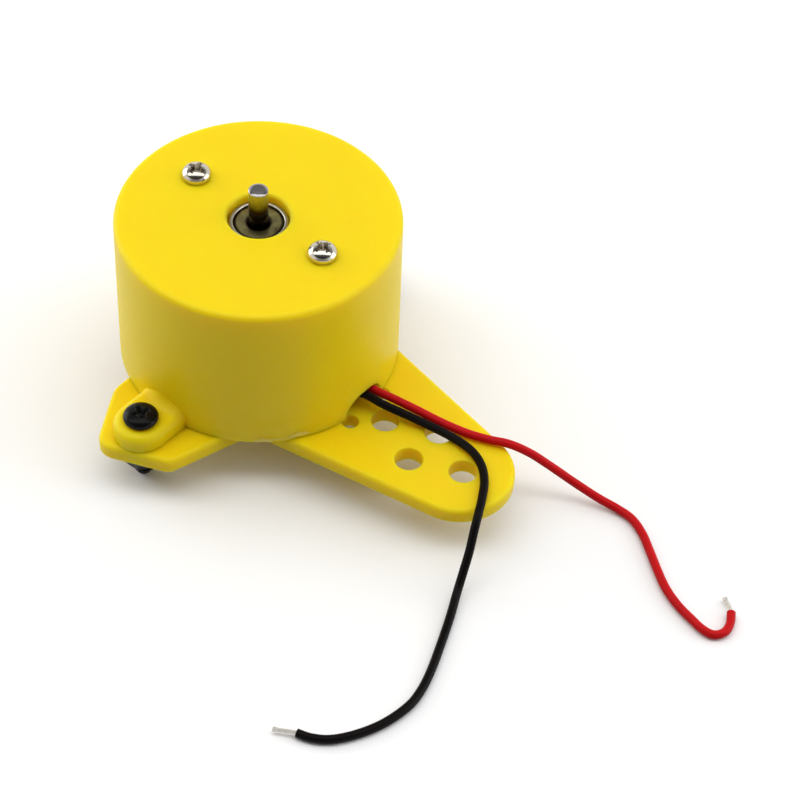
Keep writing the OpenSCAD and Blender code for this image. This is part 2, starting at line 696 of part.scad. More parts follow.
housing_cup();
base_arm_plate();
face_screws();
ear_screws();
ear_nuts();
motor_can();
front_bush();
magnet_ring();
end_bell();
rear_bush();
brush_positive();
brush_negative();
terminal_positive();
terminal_negative();
solder_joints();
red_lead();
black_lead();
red_lead_tip();
black_lead_tip();
shaft();
armature_core();
core_insulators();
coil_1();
coil_2();
coil_3();
commutator_hub();
commutator_segments();
quench_ring();
front_washer();
rear_washer();
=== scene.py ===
"""A small direct-current motor in a yellow moulded cup, on a drilled base arm, with two free leads.

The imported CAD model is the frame. The pieces that show are modelled again here with soft edges, recesses
and threads, each in the place of its CAD node, and the hidden ones keep their CAD mesh and get a finish.
Sizes are in millimetres until a piece is placed, and the shaft's axis is the Z axis.
"""

import logging
from collections.abc import Callable, Iterable, Sequence
from dataclasses import dataclass
from enum import Enum
from functools import cache
from math import copysign, cos, pi, radians, sin, sqrt

import bmesh
import bpy
from bmesh import ops
from mathutils import Matrix, Vector, noise


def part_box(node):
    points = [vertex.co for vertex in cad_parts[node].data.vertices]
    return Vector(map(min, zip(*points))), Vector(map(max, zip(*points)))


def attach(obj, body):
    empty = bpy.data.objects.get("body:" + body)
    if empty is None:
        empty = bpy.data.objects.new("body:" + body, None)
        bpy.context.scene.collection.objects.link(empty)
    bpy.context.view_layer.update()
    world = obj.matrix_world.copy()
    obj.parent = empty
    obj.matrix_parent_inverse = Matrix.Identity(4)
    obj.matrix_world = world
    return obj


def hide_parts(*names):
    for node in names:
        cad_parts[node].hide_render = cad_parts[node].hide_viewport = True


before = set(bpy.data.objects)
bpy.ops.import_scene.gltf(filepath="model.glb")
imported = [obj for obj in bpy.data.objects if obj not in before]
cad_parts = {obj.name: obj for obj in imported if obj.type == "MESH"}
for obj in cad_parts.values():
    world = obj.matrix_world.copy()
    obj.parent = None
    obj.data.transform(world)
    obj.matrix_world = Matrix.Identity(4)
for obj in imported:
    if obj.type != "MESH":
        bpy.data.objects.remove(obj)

log = logging.getLogger("cup_motor")

MM = 0.001
FULL_TURN = 2 * pi
Piece = bpy.types.Object
Tree = bpy.types.NodeTree
Node = bpy.types.Node
Socket = bpy.types.NodeSocket
Shape = bmesh.types.BMesh
Colour = tuple[float, float, float]
Corner = tuple[float, float, float]
Pair = tuple[float, float]
Profile = Sequence[Pair]


class Body(Enum):
    """The two bodies that pieces ride on."""

    STATOR = "stator"
    ROTOR = "rotor"


class Joining(Enum):
    """How one closed shape is joined with another."""

    ADD = "UNION"
    CUT = "DIFFERENCE"
    KEEP_COMMON = "INTERSECT"


class NodeBench:
    """Adds shader nodes to one tree and wires them together."""

    def __init__(self, tree: Tree) -> None:
        """Starts on an emptied tree of a material, a world or a group."""
        self.tree = tree
        tree.nodes.clear()

    def feed(self, node: Node, *terms: object, **values: object) -> Node:
        """Links sockets to a node's inputs, or sets the inputs' own values.

        Args:
            node: The node.
            terms: What feeds its first inputs, in order.
            values: What feeds its inputs by name, with underscores for spaces.

        Returns:
            The same node.
        """
        named = [(node.inputs[name.replace("_", " ")], value) for name, value in values.items()]
        for target, value in [*zip(node.inputs, terms), *named]:
            if isinstance(value, Socket):
                self.tree.links.new(value, target)
            else:
                target.default_value = value
        return node

    def add(self, kind: str, settings: dict | None = None, *terms: object, **values: object) -> Node:
        """Adds a node.

        Args:
            kind: The node's type, such as ShaderNodeTexNoise.
            settings: The node's own properties by name.
            terms: What feeds its first inputs, in order.
            values: What feeds its inputs by name.

        Returns:
            The new node.
        """
        node = self.tree.nodes.new(kind)
        for name, value in (settings or {}).items():
            setattr(node, name, value)
        return self.feed(node, *terms, **values)

    def group(self, tree: Tree, **values: float) -> Node:
        """Places a shared effect with its own input values."""
        return self.add("ShaderNodeGroup", {"node_tree": tree}, **values)

    def place(self, axes: str = "Object") -> Socket:
        """The shaded point in the object's own axes, or in a world the way to it."""
        return self.add("ShaderNodeTexCoord").outputs[axes]

    def height(self, place: Socket) -> Socket:
        """The Z of a place."""
        return self.add("ShaderNodeSeparateXYZ", Vector=place).outputs["Z"]

    def noise(self, place: Socket, **values: object) -> Socket:
        """Noise at a place."""
        return self.add("ShaderNodeTexNoise", Vector=place, **values).outputs["Fac"]

    def ramp(self, source: Socket, low: float, high: float) -> Socket:
        """Stretches a value so that low becomes 0 and high becomes 1."""
        return self.add("ShaderNodeMapRange", Value=source, From_Min=low, From_Max=high).outputs["Result"]

    def between(self, mask: Socket, first: float, second: float) -> Socket:
        """Turns a mask into a value from first, where it is 0, to second, where it is 1."""
        return self.add("ShaderNodeMapRange", Value=mask, To_Min=first, To_Max=second).outputs["Result"]

    def math(self, operation: str, *terms: Socket, clamp: bool = False) -> Socket:
        """Works out a number from two others, kept between 0 and 1 if it is clamped."""
        return self.add("ShaderNodeMath", {"operation": operation, "use_clamp": clamp}, *terms).outputs[0]

    def vector(self, operation: str, output: str, *terms: object) -> Socket:
        """Works out a number or a vector from one or two vectors."""
        return self.add("ShaderNodeVectorMath", {"operation": operation}, *terms).outputs[output]

    def blend(self, mask: Socket, first: Socket | Colour, second: Socket | Colour) -> Socket:
        """Blends two colours by a mask.

        Args:
            mask: 0 shows the first colour and 1 the second.
            first: A colour, or the socket of one.
            second: A colour, or the socket of one.

        Returns:
            The blended colour's socket.
        """
        node = self.add("ShaderNodeMix", {"data_type": "RGBA"}, mask)
        inputs = [s for s in node.inputs if s.type == "RGBA"]
        for target, colour in zip(inputs, (first, second)):
            if isinstance(colour, Socket):
                self.tree.links.new(colour, target)
            else:
                target.default_value = (*colour, 1.0)
        return next(s for s in node.outputs if s.type == "RGBA")

    def cover(self, surface: Node, mask: Socket, colour: Colour) -> None:
        """Lays a colour over a shader's present base colour, where the mask is 1."""
        base = surface.inputs["Base Color"].links[0].from_socket
        self.feed(surface, Base_Color=self.blend(mask, base, colour))


Effect = Callable[[NodeBench, Socket, Socket], Sequence[Socket]]


class SharedEffects:
    """Node groups for effects that several finishes use, each made once."""

    def __init__(self) -> None:
        """Makes every group."""
        self.grain = self._make("surface_grain", ("Scale", "Fineness"), ("Height", "Mottle"), self._grain)
        self.scuffs = self._make("handling_scuffs", ("Scale", "Amount"), ("Mask",), self._scuffs)
        self.wear = self._make("edge_wear", ("Scale", "Amount"), ("Mask",), self._wear)

    @staticmethod
    def _make(name: str, inputs: tuple[str, str], outputs: Sequence[str], effect: Effect) -> Tree:
        """Makes one group with plain number sockets.

        Args:
            name: The group's name.
            inputs: The names of its inputs.
            outputs: The names of its outputs.
            effect: Adds the nodes that turn the inputs into the outputs.

        Returns:
            The group.
        """
        tree = bpy.data.node_groups.new(name, "ShaderNodeTree")
        for way, labels in (("INPUT", inputs), ("OUTPUT", outputs)):
            for label in labels:
                tree.interface.new_socket(name=label, in_out=way, socket_type="NodeSocketFloat")
        bench = NodeBench(tree)
        given = bench.add("NodeGroupInput").outputs
        bench.add("NodeGroupOutput", None, *effect(bench, given[inputs[0]], given[inputs[1]]))
        return tree

    @staticmethod
    def _grain(bench: NodeBench, scale: Socket, fineness: Socket) -> tuple[Socket, Socket]:
        """A fine grain over a broad mottle.

        Args:
            bench: The bench of the group's tree.
            scale: The mottle's scale.
            fineness: How much finer the grain is.

        Returns:
            The grain's height and the mottle.
        """
        place = bench.place()
        fine = bench.noise(place, Scale=bench.math("MULTIPLY", scale, fineness), Detail=4.0, Roughness=0.6)
        broad = bench.noise(place, Scale=scale, Detail=3.0, Roughness=0.5)
        return fine, bench.ramp(broad, 0.3, 0.7)

    @staticmethod
    def _scuffs(bench: NodeBench, scale: Socket, amount: Socket) -> tuple[Socket]:
        """Short hairline marks, thinned out by patches.

        Args:
            bench: The bench of the group's tree.
            scale: The marks' scale.
            amount: Their strength.

        Returns:
            The mask.
        """
        place = bench.place()
        along = bench.add("ShaderNodeMapping", Vector=place, Rotation=(0.4, 0.7, 0.5), Scale=(1.0, 14.0, 5.0))
        lines = bench.noise(along.outputs["Vector"], Scale=scale, Detail=2.0, Roughness=0.7)
        patches = bench.noise(place, Scale=160.0, Detail=1.0)
        both = bench.math("MULTIPLY", bench.ramp(lines, 0.58, 0.7), bench.ramp(patches, 0.42, 0.62))
        return (bench.math("MULTIPLY", both, amount),)

    @staticmethod
    def _wear(bench: NodeBench, scale: Socket, amount: Socket) -> tuple[Socket]:
        """Rubbed edges, from the piece's own edge_wear attribute broken up by noise.

        Args:
            bench: The bench of the group's tree.
            scale: The noise's scale.
            amount: The wear's strength.

        Returns:
            The mask.
        """
        edge = bench.add("ShaderNodeAttribute", {"attribute_name": "edge_wear"}).outputs["Fac"]
        broken = bench.noise(bench.place(), Scale=scale, Detail=4.0, Roughness=0.65)
        rubbed = bench.math("MULTIPLY", edge, bench.ramp(broken, 0.35, 0.65))
        return (bench.math("MULTIPLY", rubbed, amount, clamp=True),)


EFFECTS = SharedEffects()


@dataclass(frozen=True)
class Finish:
    """What every finish has: the record's slot, its colour, its gloss and its grain."""

    slot: str
    colour: Colour
    roughness: float
    mottle_colour: Colour
    mottle_scale: float = 300.0
    fineness: float = 12.0
    bump_mm: float = 0.004
    scuffs: float = 0.3
    specular: float = 0.5
    variant: str = ""

    @cache
    def material(self) -> bpy.types.Material:
        """Gives the material, which is made on the first call.

        Returns:
            The material.
        """
        made = bpy.data.materials.new(f"finish_{self.slot}{self.variant}")
        made.use_nodes = True
        bench = NodeBench(made.node_tree)
        surface = bench.add("ShaderNodeBsdfPrincipled")
        bench.add("ShaderNodeOutputMaterial", Surface=surface.outputs["BSDF"])
        self.wire(bench, surface)
        return made

    def wire(self, bench: NodeBench, surface: Node) -> None:
        """Wires the colour, roughness and bump that all finishes share.

        Args:
            bench: The bench of the material's tree.
            surface: The material's shader.
        """
        grain = bench.group(EFFECTS.grain, Scale=self.mottle_scale, Fineness=self.fineness)
        scuffs = bench.group(EFFECTS.scuffs, Scale=420.0, Amount=self.scuffs)
        height = grain.outputs["Height"]
        bump = bench.add("ShaderNodeBump", Strength=0.5, Distance=self.bump_mm * MM, Height=height)
        bench.feed(
            surface,
            Base_Color=bench.blend(grain.outputs["Mottle"], self.colour, self.mottle_colour),
            Roughness=bench.between(scuffs.outputs["Mask"], self.roughness, min(1.0, self.roughness + 0.25)),
            Specular_IOR_Level=self.specular,
            Normal=bump.outputs["Normal"],
        )


@dataclass(frozen=True)
class MouldedPlastic(Finish):
    """Injection-moulded plastic that lets a little light in under its skin."""

    glow: float = 0.0
    glow_mm: float = 0.6

    def wire(self, bench: NodeBench, surface: Node) -> None:
        """Adds the light under the skin and palely rubbed edges.

        Args:
            bench: The bench of the material's tree.
            surface: The material's shader.
        """
        super().wire(bench, surface)
        bench.feed(
            surface,
            Subsurface_Weight=self.glow,
            Subsurface_Scale=self.glow_mm * MM,
            Subsurface_Radius=(1.0, 0.7, 0.2),
        )
        wear = bench.group(EFFECTS.wear, Scale=900.0, Amount=0.35)
        bench.cover(surface, wear.outputs["Mask"], tuple(min(1.0, c + 0.06) for c in self.colour))


@dataclass(frozen=True)
class PlatedMetal(Finish):
    """Bare or plated metal, with brighter rubbed edges."""

    edge_colour: Colour = (0.9, 0.9, 0.88)
    edge_amount: float = 0.6
    metallic: float = 1.0

    def wire(self, bench: NodeBench, surface: Node) -> None:
        """Adds the metal and its rubbed edges.

        Args:
            bench: The bench of the material's tree.
            surface: The material's shader.
        """
        super().wire(bench, surface)
        worn = bench.group(EFFECTS.wear, Scale=1800.0, Amount=self.edge_amount).outputs["Mask"]
        bench.cover(surface, worn, self.edge_colour)
        bench.feed(surface, Metallic=1.0 if self.metallic == 1.0 else bench.between(worn, self.metallic, 1.0))


@dataclass(frozen=True)
class SteelShadedBelow(PlatedMetal):
    """Ground steel with painted shade that darkens it downwards towards one height."""

    painted_shade_colour: Colour = (0.03, 0.022, 0.012)
    unshaded_mm: float = 3.4
    fully_shaded_mm: float = 1.2

    def wire(self, bench: NodeBench, surface: Node) -> None:
        """Adds the painted shade over the metal, darker towards the bottom.

        Args:
            bench: The bench of the material's tree.
            surface: The material's shader.
        """
        super().wire(bench, surface)
        # Painted shade: the steel darkens downwards between the two heights, standing for the dark hole it
        # reflects.
        painted_shade_below = bench.ramp(bench.height(bench.place()), self.unshaded_mm * MM, self.fully_shaded_mm * MM)
        bench.cover(surface, painted_shade_below, self.painted_shade_colour)


@dataclass(frozen=True)
class TurnedBronze(PlatedMetal):
    """Oily sintered bronze with concentric tool marks, and painted shade at its mouth and at its outer edge.
    """

    painted_shade_colour: Colour = (0.035, 0.026, 0.014)
    mouth_mm: float = 1.5
    mouth_blend_mm: float = 0.25
    outside_mm: float = 2.2
    outside_blend_mm: float = 0.15
    tool_step_mm: float = 0.09

    def wire(self, bench: NodeBench, surface: Node) -> None:
        """Adds the tool marks and the painted shade in the crevices at both edges.

        Args:
            bench: The bench of the material's tree.
            surface: The material's shader.
        """
        super().wire(bench, surface)
        place = bench.place()
        radius = bench.vector("LENGTH", "Value", bench.vector("MULTIPLY", "Vector", place, (1.0, 1.0, 0.0)))
        inner = bench.ramp(radius, self.mouth_mm * MM, (self.mouth_mm - self.mouth_blend_mm) * MM)
        outer = bench.ramp(radius, self.outside_mm * MM, (self.outside_mm + self.outside_blend_mm) * MM)
        # Painted shade: dark rings in the crevices at the bore's mouth and round the outer edge, where the
        # bush meets the boss.
        bench.cover(surface, bench.math("MAXIMUM", inner, outer), self.painted_shade_colour)
        marks = bench.add(
            "ShaderNodeTexWave", {"wave_type": "RINGS", "rings_direction": "Z"}, Distortion=0.4,
            Scale=FULL_TURN / (20 * self.tool_step_mm * MM), Vector=place,
        )
        ridges = bench.add(
            "ShaderNodeBump", Strength=0.35, Distance=0.01 * MM, Height=marks.outputs["Fac"],
            Normal=surface.inputs["Normal"].links[0].from_socket,
        )
        bench.feed(surface, Normal=ridges.outputs["Normal"])


@dataclass(frozen=True)
class WireInsulation(Finish):
    """Soft extruded insulation, with a faint sheen and handling marks."""

    coat: float = 0.03

    def wire(self, bench: NodeBench, surface: Node) -> None:
        """Adds the thin gloss of extruded plastic."""
        super().wire(bench, surface)
        bench.feed(surface, Coat_Weight=self.coat, Coat_Roughness=0.2)


# Slot, colour, roughness, the mottle's colour and its scale, then what differs from the usual.
YELLOW = MouldedPlastic(
    "yellow_plastic", (0.955, 0.69, 0.004), 0.4, (0.94, 0.665, 0.004),
    140.0, fineness=16.0, bump_mm=0.005, scuffs=0.2, specular=0.15, glow=0.9, glow_mm=1.8,
)
PALE_FLASH = MouldedPlastic(
    "yellow_plastic", (0.96, 0.8, 0.2), 0.5, (0.9, 0.7, 0.12), 900.0, specular=0.2, variant="_flash"
)
NICKEL = PlatedMetal(
    "nickel_plate", (0.68, 0.63, 0.54), 0.13, (0.55, 0.5, 0.42), 500.0, fineness=8.0, scuffs=0.5
)
BLACK_STEEL = PlatedMetal(
    "black_steel", (0.003, 0.003, 0.003), 0.24, (0.007, 0.006, 0.007),
    600.0, fineness=10.0, bump_mm=0.006, scuffs=0.3, specular=0.12,
    edge_colour=(0.16, 0.16, 0.16), edge_amount=0.5, metallic=0.0,
)
CAN_STEEL = PlatedMetal("zinc_plated_steel", (0.46, 0.43, 0.31), 0.28, (0.36, 0.33, 0.22), 400.0)
# The bush's bronze, with painted shade in the crevices at its mouth and outer edge.
BRONZE = TurnedBronze(
    "sintered_bronze", (0.42, 0.38, 0.15), 0.32, (0.12, 0.075, 0.04),
    800.0, fineness=6.0, bump_mm=0.015, scuffs=0.1,
    edge_colour=(0.42, 0.38, 0.2), edge_amount=0.3,
)
# The shaft's steel, with painted shade darkening it towards the bottom.
SHAFT_STEEL = SteelShadedBelow(
    "ground_steel", (0.37, 0.35, 0.345), 0.18, (0.32, 0.3, 0.3), fineness=20.0, bump_mm=0.002
)
RED_SLEEVE = WireInsulation(
    "red_pvc", (0.62, 0.006, 0.008), 0.42, (0.52, 0.004, 0.007), 260.0, bump_mm=0.01, specular=0.1
)
BLACK_SLEEVE = WireInsulation(
    "black_pvc", (0.004, 0.003, 0.003), 0.36, (0.008, 0.006, 0.006), 260.0, bump_mm=0.01, specular=0.06
)
SOLDER = PlatedMetal(
    "solder", (0.88, 0.86, 0.82), 0.34, (0.76, 0.73, 0.68), 1500.0, fineness=6.0, bump_mm=0.01
)
TINNED = PlatedMetal("tinned_brass", (0.72, 0.7, 0.64), 0.3, (0.6, 0.58, 0.5), 700.0)
COPPER = PlatedMetal("copper", (0.72, 0.36, 0.2), 0.28, (0.55, 0.25, 0.12), 700.0)
ENAMEL = PlatedMetal("enamelled_copper", (0.55, 0.2, 0.08), 0.22, (0.4, 0.13, 0.05), 900.0)
LAMINATION = PlatedMetal("silicon_steel", (0.36, 0.36, 0.37), 0.4, (0.28, 0.28, 0.29), 600.0)
FERRITE = MouldedPlastic("bonded_ferrite", (0.05, 0.05, 0.055), 0.6, (0.08, 0.08, 0.085), 700.0)
IVORY = MouldedPlastic("ivory_plastic", (0.72, 0.7, 0.6), 0.42, (0.66, 0.64, 0.54), 250.0)
GREEN_COAT = MouldedPlastic("green_insulation", (0.04, 0.16, 0.07), 0.5, (0.03, 0.12, 0.05), 600.0)
PHENOLIC = MouldedPlastic("brown_phenolic", (0.09, 0.04, 0.025), 0.45, (0.13, 0.06, 0.035), 600.0)
FIBRE = MouldedPlastic("washer_plastic", (0.04, 0.04, 0.04), 0.6, (0.07, 0.07, 0.07), 900.0)


def as_mesh(bm: Shape, name: str) -> bpy.types.Mesh:
    """Stores a shape as a mesh, and frees the shape.

    Args:
        bm: The shape.
        name: The mesh's name.

    Returns:
        The mesh.
    """
    mesh = bpy.data.meshes.new(name)
    bm.to_mesh(mesh)
    bm.free()
    return mesh


def linked(name: str, data: bpy.types.ID) -> Piece:
    """Makes an object of some data and links it into the scene.

    Args:
        name: The object's name.
        data: Its mesh, curve, lamp or camera.

    Returns:
        The object.
    """
    made = bpy.data.objects.new(name, data)
    bpy.context.scene.collection.objects.link(made)
    return made


def soften(bm: Shape, *rings: tuple[float, float, float, int]) -> Shape:
    """Rounds ring-shaped edges round the Z axis.

    Args:
        bm: The shape.
        rings: Each ring's radius and height, how far the rounding reaches, and the faces across it.

    Returns:
        The same shape.
    """
    for radius, height, width, segments in rings:
        ring = {v for v in bm.verts if abs(v.co.xy.length - radius) < 1e-3 and abs(v.co.z - height) < 1e-3}
        ops.bevel(
            bm, geom=[e for e in bm.edges if ring.issuperset(e.verts)], offset=width, affect="EDGES",
            segments=segments, profile=0.5, clamp_overlap=True, material=-1,
        )
    return bm


def turned(profile: Profile, segments: int = 96, closed: bool = False) -> Shape:
    """Turns a profile round the Z axis, as on a lathe.

    Args:
        profile: Radius and height of each point, in order.
        segments: The number of steps in a full turn.
        closed: Whether the last point joins the first.

    Returns:
        The turned shape.
    """
    bm = bmesh.new()
    verts = [bm.verts.new((radius, 0, height)) for radius, height in profile]
    pairs = list(zip(verts, verts[1:])) + ([(verts[-1], verts[0])] if closed else [])
    edges = [bm.edges.new(pair) for pair in pairs]
    geom = verts + edges
    ops.spin(bm, geom=geom, cent=(0, 0, 0), axis=(0, 0, 1), angle=FULL_TURN, steps=segments, use_merge=True)
    ops.remove_doubles(bm, verts=bm.verts, dist=1e-4)
    ops.recalc_face_normals(bm, faces=bm.faces)
    return bm


def rim(radius: float, height: float, out: float, up: float, degrees: Iterable[float]) -> Profile:
    """Gives the profile of a rounded rim, from its wall at 0 degrees to its face at 90."""
    angles = [radians(a) for a in degrees]
    return [(radius + out * (1 - cos(a)), height + up * (1 - sin(a))) for a in angles]


def hulled(bm: Shape) -> Shape:
    """Turns a cloud of points into its convex hull.

    Args:
        bm: The points.

    Returns:
        The same shape, now the hull.
    """
    hull = ops.convex_hull(bm, input=list(bm.verts))
    inside = {v for v in (*hull["geom_interior"], *hull["geom_unused"]) if isinstance(v, bmesh.types.BMVert)}
    ops.delete(bm, geom=list(inside), context="VERTS")
    return bm


def hull_prism(corners: Sequence[Corner], span: Pair, edges: Pair, segments: int = 64) -> Shape:
    """Makes an upright prism with rounded rims over the tight outline round some corner circles.

    Args:
        corners: X, Y and radius of each corner, none smaller than the roundings.
        span: Heights of the prism's underside and top.
        edges: Radii of its lower and upper rounded rims.
        segments: The number of steps in each corner circle.

    Returns:
        The prism, with a single face on its top and on its underside.
    """
    bm = bmesh.new()
    (low, high), (lower, upper) = span, edges
    arc = range(0, 91, 15)
    for x, y, radius in corners:
        for ring, height in [*rim(radius, low, -lower, lower, arc), *rim(radius, high, -upper, -upper, arc)]:
            place = Matrix.Translation((x, y, height))
            ops.create_circle(bm, segments=segments, radius=ring, matrix=place)
    hulled(bm)
    ops.delete(bm, geom=[e for e in bm.edges if not e.link_faces], context="EDGES")
    ops.dissolve_limit(bm, angle_limit=radians(0.1), verts=bm.verts, edges=bm.edges)
    ops.recalc_face_normals(bm, faces=bm.faces)
    return bm


def combined(base: Shape, tool: Shape, how: Joining = Joining.CUT) -> Shape:
    """Joins one closed shape with another, and frees both.

    Args:
        base: The shape that is worked on.
        tool: The shape that is added to it, cut from it or intersected with it.
        how: The way they are joined.

    Returns:
        The result.
    """
    scraps = [linked(label, as_mesh(bm, label)) for label, bm in (("base", base), ("tool", tool))]
    work = scraps[0].modifiers.new("join", "BOOLEAN")
    work.object = scraps[1]
    work.operation = how.value
    work.solver = "EXACT"
    bpy.context.view_layer.update()
    evaluated = scraps[0].evaluated_get(bpy.context.evaluated_depsgraph_get())
    result = bmesh.new()
    result.from_mesh(evaluated.to_mesh())
    evaluated.to_mesh_clear()
    for scrap in scraps:
        mesh = scrap.data
        bpy.data.objects.remove(scrap)
        bpy.data.meshes.remove(mesh)
    return result


def drilled(bm: Shape, radius: float, place: Pair, span: Pair, ease: float) -> Shape:
    """Drills an upright hole with rounded rims on both faces.

    Args:
        bm: The shape. It is freed.
        radius: The hole's radius.
        place: The hole's X and Y.
        span: Heights of the faces under and over the hole.
        ease: Radius of the rounded rims.

    Returns:
        The drilled shape.
    """
    steps = (0, 22.5, 45, 67.5, 90)
    low, high = span
    wide = radius + ease
    lower = rim(radius, low, ease, ease, reversed(steps))
    upper = rim(radius, high, ease, -ease, steps)
    drill = turned([(0, low - 1), (wide, low - 1), *lower, *upper, (wide, high + 1), (0, high + 1)], 48)
    ops.translate(drill, vec=(*place, 0), verts=drill.verts)
    return combined(bm, drill)


def mark_edges(bm: Shape) -> None:
    """Stores how proud each vertex stands, as the edge_wear attribute that the finishes read.

    Args:
        bm: The shape.
    """
    layer = bm.verts.layers.float.new("edge_wear")
    for vert in bm.verts:
        bends = [e.calc_face_angle_signed(0.0) for e in vert.link_edges if len(e.link_faces) == 2]
        proud = max(bends, default=0.0)
        vert[layer] = min(1.0, max(0.0, (proud - radians(8)) / radians(20)))


def placed(
    bm: Shape, name: str, finish: Finish, stands_for: Sequence[str] = (), body: Body = Body.STATOR,
    crease: float = 40.0,
) -> None:
    """Makes a piece of a finished shape, with its object at the origin.

    Args:
        bm: The shape in millimetres, in its place. It is freed.
        name: The piece's name.
        finish: Its finish.
        stands_for: The CAD nodes that it takes the place of.
        body: The body that it rides on.
        crease: Edges that bend by more than this, in degrees, are shown sharp.
    """
    mark_edges(bm)
    ops.scale(bm, vec=(MM, MM, MM), verts=bm.verts)
    mesh = as_mesh(bm, name)
    mesh.polygons.foreach_set("use_smooth", [True] * len(mesh.polygons))
    mesh.set_sharp_from_angle(angle=radians(crease))
    mesh.materials.append(finish.material())
    piece = linked(name, mesh)
    piece.modifiers.new("even_shading", "WEIGHTED_NORMAL").keep_sharp = True
    settled(piece, stands_for, body)


def settled(piece: Piece, stands_for: Sequence[str], body: Body = Body.STATOR) -> Piece:
    """Gives a piece its body and the CAD nodes that it stands for.

    Args:
        piece: The piece.
        stands_for: The CAD nodes that it takes the place of.
        body: The body that it rides on.

    Returns:
        The same piece.
    """
    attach(piece, body.value)
    if stands_for:
        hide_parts(*stands_for)
    log.info("%s rides on %s and stands for %s", piece.name, body.value, ", ".join(stands_for) or "no node")
    return piece


class Levels:
    """Heights along the shaft that the pieces share, in millimetres."""

    def __init__(self) -> None:
        """Reads the levels from the CAD nodes' boxes."""
        lowest = (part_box(node)[0].z / MM for node in ("housing_cup", "base_arm_plate", "ear_screws"))
        self.rim, self.plate, self.floor = lowest
        self.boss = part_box("motor_can")[1].z / MM
        self.face = self.boss - MotorFace.boss_height
        self.lug = self.rim + Cup.lug_height


@dataclass
class Ears:
    """Plan of the two fixing ears, with the front one at -Y."""

    reach: float = 17.75
    hole_radius: float = 1.12
    lug_radius: float = 2.85
    root: float = -9.0
    root_round: float = 0.9
    bulge: Corner = (-3.45, -14.4, 3.0)
    outer_corner: Corner = (-1.6, -19.6, 1.9)
    fin_root: Corner = (6.94, -8.75, 0.9)
    fin_corner: Corner = (3.65, -17.75, 1.5)

    @property
    def lug(self) -> list[Corner]:
        """Corners of a lug's outline on the cup."""
        return [self._root(1), self._root(-1), self._tip]

    @property
    def plain(self) -> list[Corner]:
        """Corners of the rear ear's outline on the base plate, drawn as if it stood at the front."""
        return [self._root(1), *self._back, self._tip]

    @property
    def fin(self) -> list[Corner]:
        """Corners of the front ear's outline on the base plate."""
        return [self.fin_root, *self._back, self.fin_corner]

    @property
    def _back(self) -> list[Corner]:
        """Corners of the edge that both ears have on the side away from the arm."""
        near = self.bulge[0] - self.bulge[2] + self.root_round
        return [(near, self.root, self.root_round), self.bulge, self.outer_corner]

    @property
    def _tip(self) -> Corner:
        """The corner round the screw."""
        return 0.0, -self.reach, self.lug_radius

    def _root(self, side: int) -> Corner:
        """The corner where one side of a lug meets the cup."""
        return side * (self.lug_radius - self.root_round), self.root, self.root_round

    def places(self, height: float) -> list[Corner]:
        """Places on both ears' screw lines at one height."""
        return [(0.0, side * self.reach, height) for side in (-1, 1)]

    @staticmethod
    def mirrored(corners: Sequence[Corner]) -> list[Corner]:
        """The same corners on the +Y side."""
        return [(x, -y, radius) for x, y, radius in corners]


